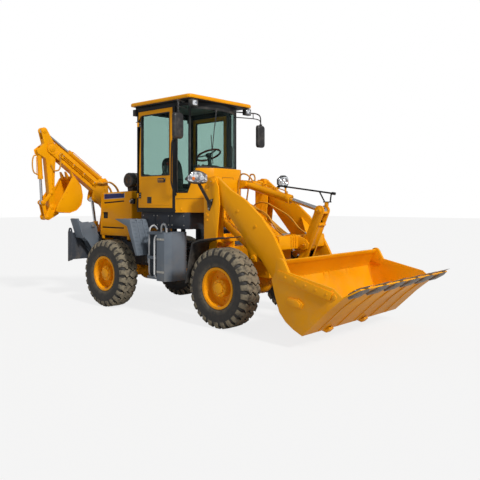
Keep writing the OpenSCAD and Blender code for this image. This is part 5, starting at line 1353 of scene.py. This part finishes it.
def loader_bucket():
    middle = sum((Vector(p) for p in PAD), Vector((0, 0))) / len(PAD)
    inner_pad = [middle.lerp(Vector(p), 0.74) for p in PAD]
    for _, s in SIDES:
        k = kit("loader_bucket", "bucket_paint", 0.003, s=s)
        # Raised six-cornered pad, doubled strip along the upper edge
        for outline, out in ((PAD, 1.15), (inner_pad, 1.162), (TOP_STRIP, 1.16)):
            k.prism(outline, 1.1335, out)
        for i in range(5):
            k.bolt((2.56 + i * 0.14, 1.16, 0.816 - i * 0.034), Y, 0.012, 0.008)
        k.knob((3.204, 1.134, 0.655), (3.204, 1.1475, 0.655), 0.03, 0.003)
        # Weld seams between the sides and the shell
        k.tube([(x + 0.016, 1.1135, z + 0.014) for x, z in SHELL_SEAM], 0.006, 8)
    # Ribs behind the shell, wear strips and blocks under it
    for outline, half, places in ((RIB, 0.008, (-0.85, -0.3, 0.3, 0.85)),
                                  (WEAR_STRIP, 0.028, (-0.81, -0.405, 0.0, 0.405, 0.81)),
                                  (HEEL_BLOCK, 0.045, (-0.62, 0.2))):
        for y in places:
            kit("loader_bucket", "bucket_paint", 0.003).prism(outline, y - half, y + half)
    # Bolted edge plates with their teeth's holders
    holder = kit("loader_bucket", "bucket_paint", 0.004, "holders")
    steel = kit("loader_bucket", "worn_steel", 0.003, "edge")
    for i in range(6):
        y, wide = -1.014 + i * 0.4056, 0.105 if i in (0, 5) else 0.128
        steel.prism(EDGE_TOP, y - wide, y + wide)
        steel.prism(EDGE_PLATE, y - wide, y + wide)
        holder.prism(HOLDER, y - 0.036, y + 0.036)
        for dy in (-0.085, 0.085):
            steel.bolt((3.44, y + dy, 0.7385), (-0.46, 0, 0.89), 0.016, 0.01)


def loader_hoses():
    """Hoses from the tower to the arms' cross box, over the lift pivot."""
    for i, (y, lift, out) in enumerate(((-0.285, 0.3, 0.1), (-0.235, 0.26, 0.05), (-0.185, 0.22, 0.02),
                                        (0.235, 0.26, 0.06))):
        path = [(0.752, y, 1.35), (0.8, y, 1.42), (0.93, y, 1.56 + lift * 0.3), (1.13, y, 1.6 + lift * 0.3),
                (1.33, y + 0.01, 1.545 + lift * 0.2), (1.56, y + 0.02, 1.42 + out), (1.74, y + 0.02, 1.315),
                (1.862, y + 0.02, 1.244)]
        obj = hose(f"lift_hose_{i}", path, 0.0125)
        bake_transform(obj)
        kit("lift_arms", "zinc").cyl((1.845, y + 0.0195, 1.252), (1.882, y + 0.021, 1.23), 0.017, 6)
        kit("front_frame", "zinc").cyl((0.744, y, 1.338), (0.762, y, 1.366), 0.017, 6)
        # Hard pipe on the cross box
        pipe = ((1.88, 1.236), (1.94, 1.2445), (1.982, 1.2445), (1.9925, 1.2), (1.9925, 1.09))
        kit("lift_arms", "yellow_paint").tube([(x, y + 0.02, z) for x, z in pipe], 0.008, 8, 0.02)
    # Loops beside the tilt cylinder's foot
    for i, y in enumerate((-0.11, 0.11)):
        path = [(0.88, y, 1.7), (0.905, y, 1.83), (0.925, y, 1.99), (0.96, y * 0.95, 2.085),
                (1.035, y * 0.8, 2.09), (1.09, y * 0.5, 2.045), (1.112, y * 0.2, 1.99)]
        obj = hose(f"tilt_hose_{i}", path, 0.0115)
        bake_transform(obj)
        kit("front_frame", "zinc").cyl((0.878, y, 1.688), (0.884, y, 1.722), 0.016, 6)


# Hoe
ACROSS = Vector((1, 0, 0))

# Body, place, distance from the hoe's middle plane and radius of the caps on its pins
HOE_PINS = (
    ("swing_post", (0.1, 1.52), 0.112, 0.05),
    ("swing_post", (0.35, 0.8), 0.112, 0.042),
    ("boom", (1.36, 2.62), 0.08, 0.058),
    ("boom", (0.27, 2.08), 0.084, 0.036),
    ("boom", (0.5, 1.75), 0.084, 0.034),
    ("hoe_bucket", (1.36, 1.6), 0.083, 0.04),
    ("stick", (1.37, 1.85), 0.08, 0.03),
    ("hoe_guide_links", (1.52, 1.68), 0.077, 0.03),
    ("hoe_bucket", (1.46, 1.427), 0.095, 0.03),
    ("stick", (1.5, 2.92), 0.058, 0.042),
)

# Barrel, its foot, its rod's eye, radius and length
HOE_CYLINDERS = (
    ("boom_barrel", (0.35, 0.8), (0.5, 1.75), 0.052, 0.53),
    ("stick_barrel", (0.27, 2.08), (1.5, 2.92), 0.048, 0.886),
    ("hoe_bucket_barrel", (1.57, 2.57), (1.52, 1.68), 0.042, 0.48),
)
HOE_TOOTH = ((0.945, 2.066), (0.985, 2.122), (1.04, 2.205), (1.062, 2.236), (1.046, 2.15), (1.018, 2.092))
HOE_SHELL_SEAM = ((1.33, 1.526), (1.25, 1.511), (1.1, 1.501), (0.964, 1.545), (0.866, 1.642), (0.836, 1.8),
                  (0.876, 1.988), (1.008, 2.144))


def hoe(r, w, z):
    """A point of the hoe by its distance from the swing axis, way across its middle plane, and height."""
    return Vector((HOE_X + w, HOE_Y - r, z))


def hoe_row(w, points):
    return [hoe(r, w, z) for r, z in points]


def hoe_caps():
    for body, (r, z), w, size in HOE_PINS:
        k = kit(body, "yellow_paint", 0.002)
        for s in (-1, 1):
            at = hoe(r, s * w, z)
            end = at + ACROSS * s * 0.009
            k.knob(at, end, size, 0.003)
            k.bolt(end, ACROSS * s, 0.01, 0.007)


def boom_pipes():
    """Hard pipes along the boom's sides, with clamps."""
    pipe, clamp, zinc = kit("boom", "yellow_paint"), kit("boom", "yellow_paint", 0.002), kit("boom", "zinc")
    d = (Vector((1.29, 2.712)) - Vector((0.371, 2.063))).normalized()
    n = Vector((-d.y, d.x))
    start, end = Vector((0.42, 2.063)), Vector((1.18, 2.6))
    for s in (-1, 1):
        for off in (-0.05, -0.078, -0.106):
            pipe.tube(hoe_row(s * 0.0945, [start + n * off, end + n * off]), 0.009, 10, 0)
        for t in (0.08, 0.36, 0.64, 0.92):
            mid = start.lerp(end, t)
            p, q = mid + n * -0.036, mid + n * -0.12
            corners = [p - d * 0.014, p + d * 0.014, q + d * 0.014, q - d * 0.014]
            clamp.slab(hoe_row(s * 0.08, corners), ACROSS * s * 0.027)
            zinc.bolt(hoe(mid.x - n.x * 0.064, s * 0.107, mid.y - n.y * 0.064), ACROSS * s, 0.008, 0.006)
        # Weld bead round the boom's head
        turns = [math.radians(a) for a in range(40, 300, 12)]
        head = [(1.36 + 0.098 * math.cos(t), 2.62 + 0.098 * math.sin(t)) for t in turns]
        pipe.tube(hoe_row(s * 0.081, head), 0.005, 8, 0)
        # Pipe on the stick
        stick_pipe = ((1.38, 2.36), (1.35, 2.25), (1.34, 1.98), (1.352, 1.92))
        kit("stick", "yellow_paint").tube(hoe_row(s * 0.066, stick_pipe), 0.008)
        post = kit("stick", "yellow_paint", 0.002)
        for z in (2.28, 2.02):
            post.cyl(hoe(1.346, s * 0.056, z), hoe(1.346, s * 0.078, z), 0.014, 12)


def hoe_cylinders():
    """Ports and pipes of the three cylinders."""
    for body, foot, eye, r, length in HOE_CYLINDERS:
        foot, eye = Vector(foot), Vector(eye)
        e = (eye - foot).normalized()
        out = Vector((-e.y, e.x))
        k = kit(body, "yellow_paint", 0.002)
        last = length - 0.075
        for along in (0.075, last):
            k.cyl(*hoe_row(0, [foot + e * along + out * (r + up) for up in (-0.004, 0.02)]), 0.014, 14)
        pipe = ((last, 0.016), (length - 0.12, 0.02), (0.1, 0.014))
        k.tube(hoe_row(0, [foot + e * along + out * (r + up) for along, up in pipe]), 0.0065, 8, 0.02)


def hoe_hoses():
    """Bows from the swing post to the boom, from the boom to the stick, and at the bucket cylinder."""
    for i, w in enumerate((-0.1, -0.125, 0.1, 0.125)):
        path = hoe_row(w, ((0.05, 1.33), (-0.015, 1.5), (-0.05, 1.72), (0.01, 1.94), (0.17, 2.06)))
        path += [hoe(0.34, w * 0.99, 2.04), hoe(0.45, w * 0.96, 2.04)]
        obj = hose(f"boom_hose_{i}", path, 0.014)
        hoe(0.03, w, 1.40)
        hoe(0.22, w, 2.05)
        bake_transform(obj)
    for i, w in enumerate((-0.094, 0.094)):
        path = [hoe(1.17, w, 2.545), hoe(1.23, w * 1.06, 2.52), hoe(1.215, w * 1.08, 2.38),
                hoe(1.24, w * 1.02, 2.26), hoe(1.33, w * 0.86, 2.24), hoe(1.378, w * 0.74, 2.33)]
        obj = hose(f"stick_hose_{i}", path, 0.0135)
        hoe(1.20, w, 2.50)
        hoe(1.33, w, 2.25)
        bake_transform(obj)
    bow = ((1.622, 2.494), (1.665, 2.48), (1.69, 2.4), (1.69, 2.29), (1.665, 2.2), (1.604, 2.164))
    kit("hoe_bucket_barrel", "gold_hose").tube(smooth(hoe_row(0, bow)), 0.0115, 10, 0)


def hoe_mount():
    """Carriage's clamps and bolts, rings on the swing axis."""
    for y in (0.05, 0.55):
        for z in (0.76, 1.1):
            kit("hoe_carriage", "yellow_paint", 0.003).cyl((-2.392, y, z), (-2.372, y, z), 0.045)
            kit("hoe_carriage", "zinc").bolt((-2.392, y, z), -ACROSS, 0.022, 0.016)
    ring = [(-0.006, 0.034), (-0.006, 0.06), (0.006, 0.06), (0.006, 0.034)]
    for z in (0.628, 1.15):
        kit("swing_post", "yellow_paint", 0.003).spin(ring, (HOE_X, HOE_Y, z), Z, 32)


def hoe_bucket():
    """Teeth with their bolts, weld seams and side bolts."""
    teeth, side = kit("hoe_bucket", "yellow_paint", 0.003, "teeth"), kit("hoe_bucket", "yellow_paint", 0.002)
    for w in (-0.16, 0.0, 0.16):
        teeth.slab(hoe_row(w - 0.034, HOE_TOOTH), ACROSS * 0.068)
        kit("hoe_bucket", "zinc").bolt(hoe(1.0, w, 2.095), (0, -0.8, -0.6), 0.01, 0.008)
    for s in (-1, 1):
        side.tube(hoe_row(s * 0.2115, HOE_SHELL_SEAM), 0.006, 8, 0.03)
        for at in hoe_row(s * 0.21, ((1.16, 1.86), (1.24, 1.75))):
            side.bolt(at, ACROSS * s, 0.013, 0.009)


# Stabilizers and chassis
def stabilizers():
    for side, s in SIDES:
        leg, zinc = kit(f"leg_{side}", "light_grey_paint", 0.002, s=s), kit(f"leg_{side}", "zinc", s=s)
        for x, way in ((-2.208, -1), (-2.032, 1)):
            end = x + way * 0.02
            leg.knob((x + way * 0.012, 0.61, 1.28), (end, 0.61, 1.28), 0.034, 0.003, 20)
            zinc.bolt((end, 0.61, 1.28), (way, 0, 0), 0.012, 0.008)
            pin = kit("root", "dark_grey_paint", 0.002, s=s)
            pin.knob((x + way * 0.026, 0.32, 0.55), (x + way * 0.036, 0.32, 0.55), 0.036, 0.003, 20)
        # Ribs of the foot plate
        rib = ((0.8, 1.12), (0.905, 1.375), (0.84, 1.33), (0.775, 1.15))
        for x in (-2.16, -2.08):
            leg.slab([(x, y, z) for y, z in rib], ACROSS * 0.01)
        # Gland of the cylinder
        base, end = Vector((-2.12, 0.12, 0.62)), Vector((-2.12, 0.61, 1.28))
        d = (end - base).normalized()
        gland = [(-0.03, 0.04), (-0.03, 0.0455), (0.002, 0.0455), (0.004, 0.03), (0.002, 0.0268),
                 (-0.028, 0.0268)]
        kit(f"leg_barrel_{side}", "light_grey_paint", 0.002, s=s).spin(gland, base + d * 0.732, d, 32)


def chassis():
    for _, s in SIDES:
        k, zinc = kit("root", "dark_grey_paint", 0.002, s=s), kit("root", "zinc", s=s)
        for x in (-1.9, -1.86, -1.55, -0.98, -0.94, -0.36, -0.32):
            for z in (0.7, 0.96):
                zinc.bolt((x, 0.2905, z), Y, 0.011, 0.008)
        for x in (0.2, 0.26, 1.1, 1.42, 1.54):
            for z in (0.7, 0.97):
                kit("front_frame", "yellow_paint", 0.002, s=s).bolt((x, 0.2485, z), Y, 0.011, 0.008)
        # Cover plates of the box under the cab
        for x in (-0.74, -0.4, -0.06):
            k.box((x, 0.5495, 1.315), (x + 0.3, 0.5555, 1.495))
            for dx in (0.02, 0.28):
                for z in (1.335, 1.475):
                    zinc.bolt((x + dx, 0.5555, z), Y, 0.007, 0.005)
        # Lamps at the rear of the beam, plate behind them
        kit("root", "black_plastic", 0.002, s=s).box((-2.022, 0.4, 1.115), (-2.0095, 0.466, 1.205))
        for mat, z0, z1 in (("red", 1.119, 1.16), ("amber", 1.163, 1.201)):
            steps = [(-2.02, 0.0), (-2.028, 0.002), (-2.03, 0.008)]
            kit("root", mat, s=s).pillow("x", 0.404, 0.462, z0, z1, 0.008, steps)
    # Steering hinge's caps, and hoses beside it from the rear frame to the front frame
    for z0, z1 in ((1.01, 1.018), (0.672, 0.664)):
        kit("root", "dark_grey_paint", 0.002).cyl((0, 0, z0), (0, 0, z1), 0.055)
    for i, (y, z) in enumerate(((-0.1, 0.86), (-0.13, 0.8), (0.1, 0.86), (0.13, 0.8))):
        path = [(-0.285, y, z), (-0.2, y * 1.05, z + 0.005), (-0.09, y * 1.25, z + 0.045),
                (0.03, y * 1.25, z + 0.045), (0.11, y * 1.05, z + 0.01), (0.165, y, z)]
        obj = hose(f"hinge_hose_{i}", path, 0.013, "hose")
        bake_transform(obj)


DETAILS = (roof, wiper, cab, cab_sides, cowl, doors, seat, dash, steering_wheel, consoles, headlamps, mirrors,
           hood, hood_sides, rear_grille, air_cleaner, side_steps, fenders, loader, level_rod, tilt_cylinder,
           loader_bucket, loader_hoses, hoe_caps, boom_pipes, hoe_cylinders, hoe_hoses, hoe_mount, hoe_bucket,
           stabilizers, chassis)

# Nodes that a piece above stands for, and bevel widths other than the usual one
OWN = {"cab_roof", "seat", "controls", "headlamps", "mirrors", "engine_hood", "air_cleaner"}
EDGES = {"cab_cowl": 0.008, "lift_arms": 0.004, "rocker": 0.006, "boom": 0.005, "stick": 0.004,
         "door_right": 0.004, "door_left": 0.004}
USUAL_EDGE = 0.003

# All pieces
make_camera()
make_stage()
MATS = make_materials()
make_wheels()
for detail in DETAILS:
    detail()
for node in NODES:
    if "tyre" in node or "rim" in node or node in OWN:
        continue
    if "glass" in node:
        NODES[node].data.materials.clear()
        NODES[node].data.materials.append(MATS["tinted_glass"])
    else:
        dress(node, EDGES.get(node, USUAL_EDGE), MATS["bucket_paint"] if node == "loader_bucket" else None)
finish_kits()
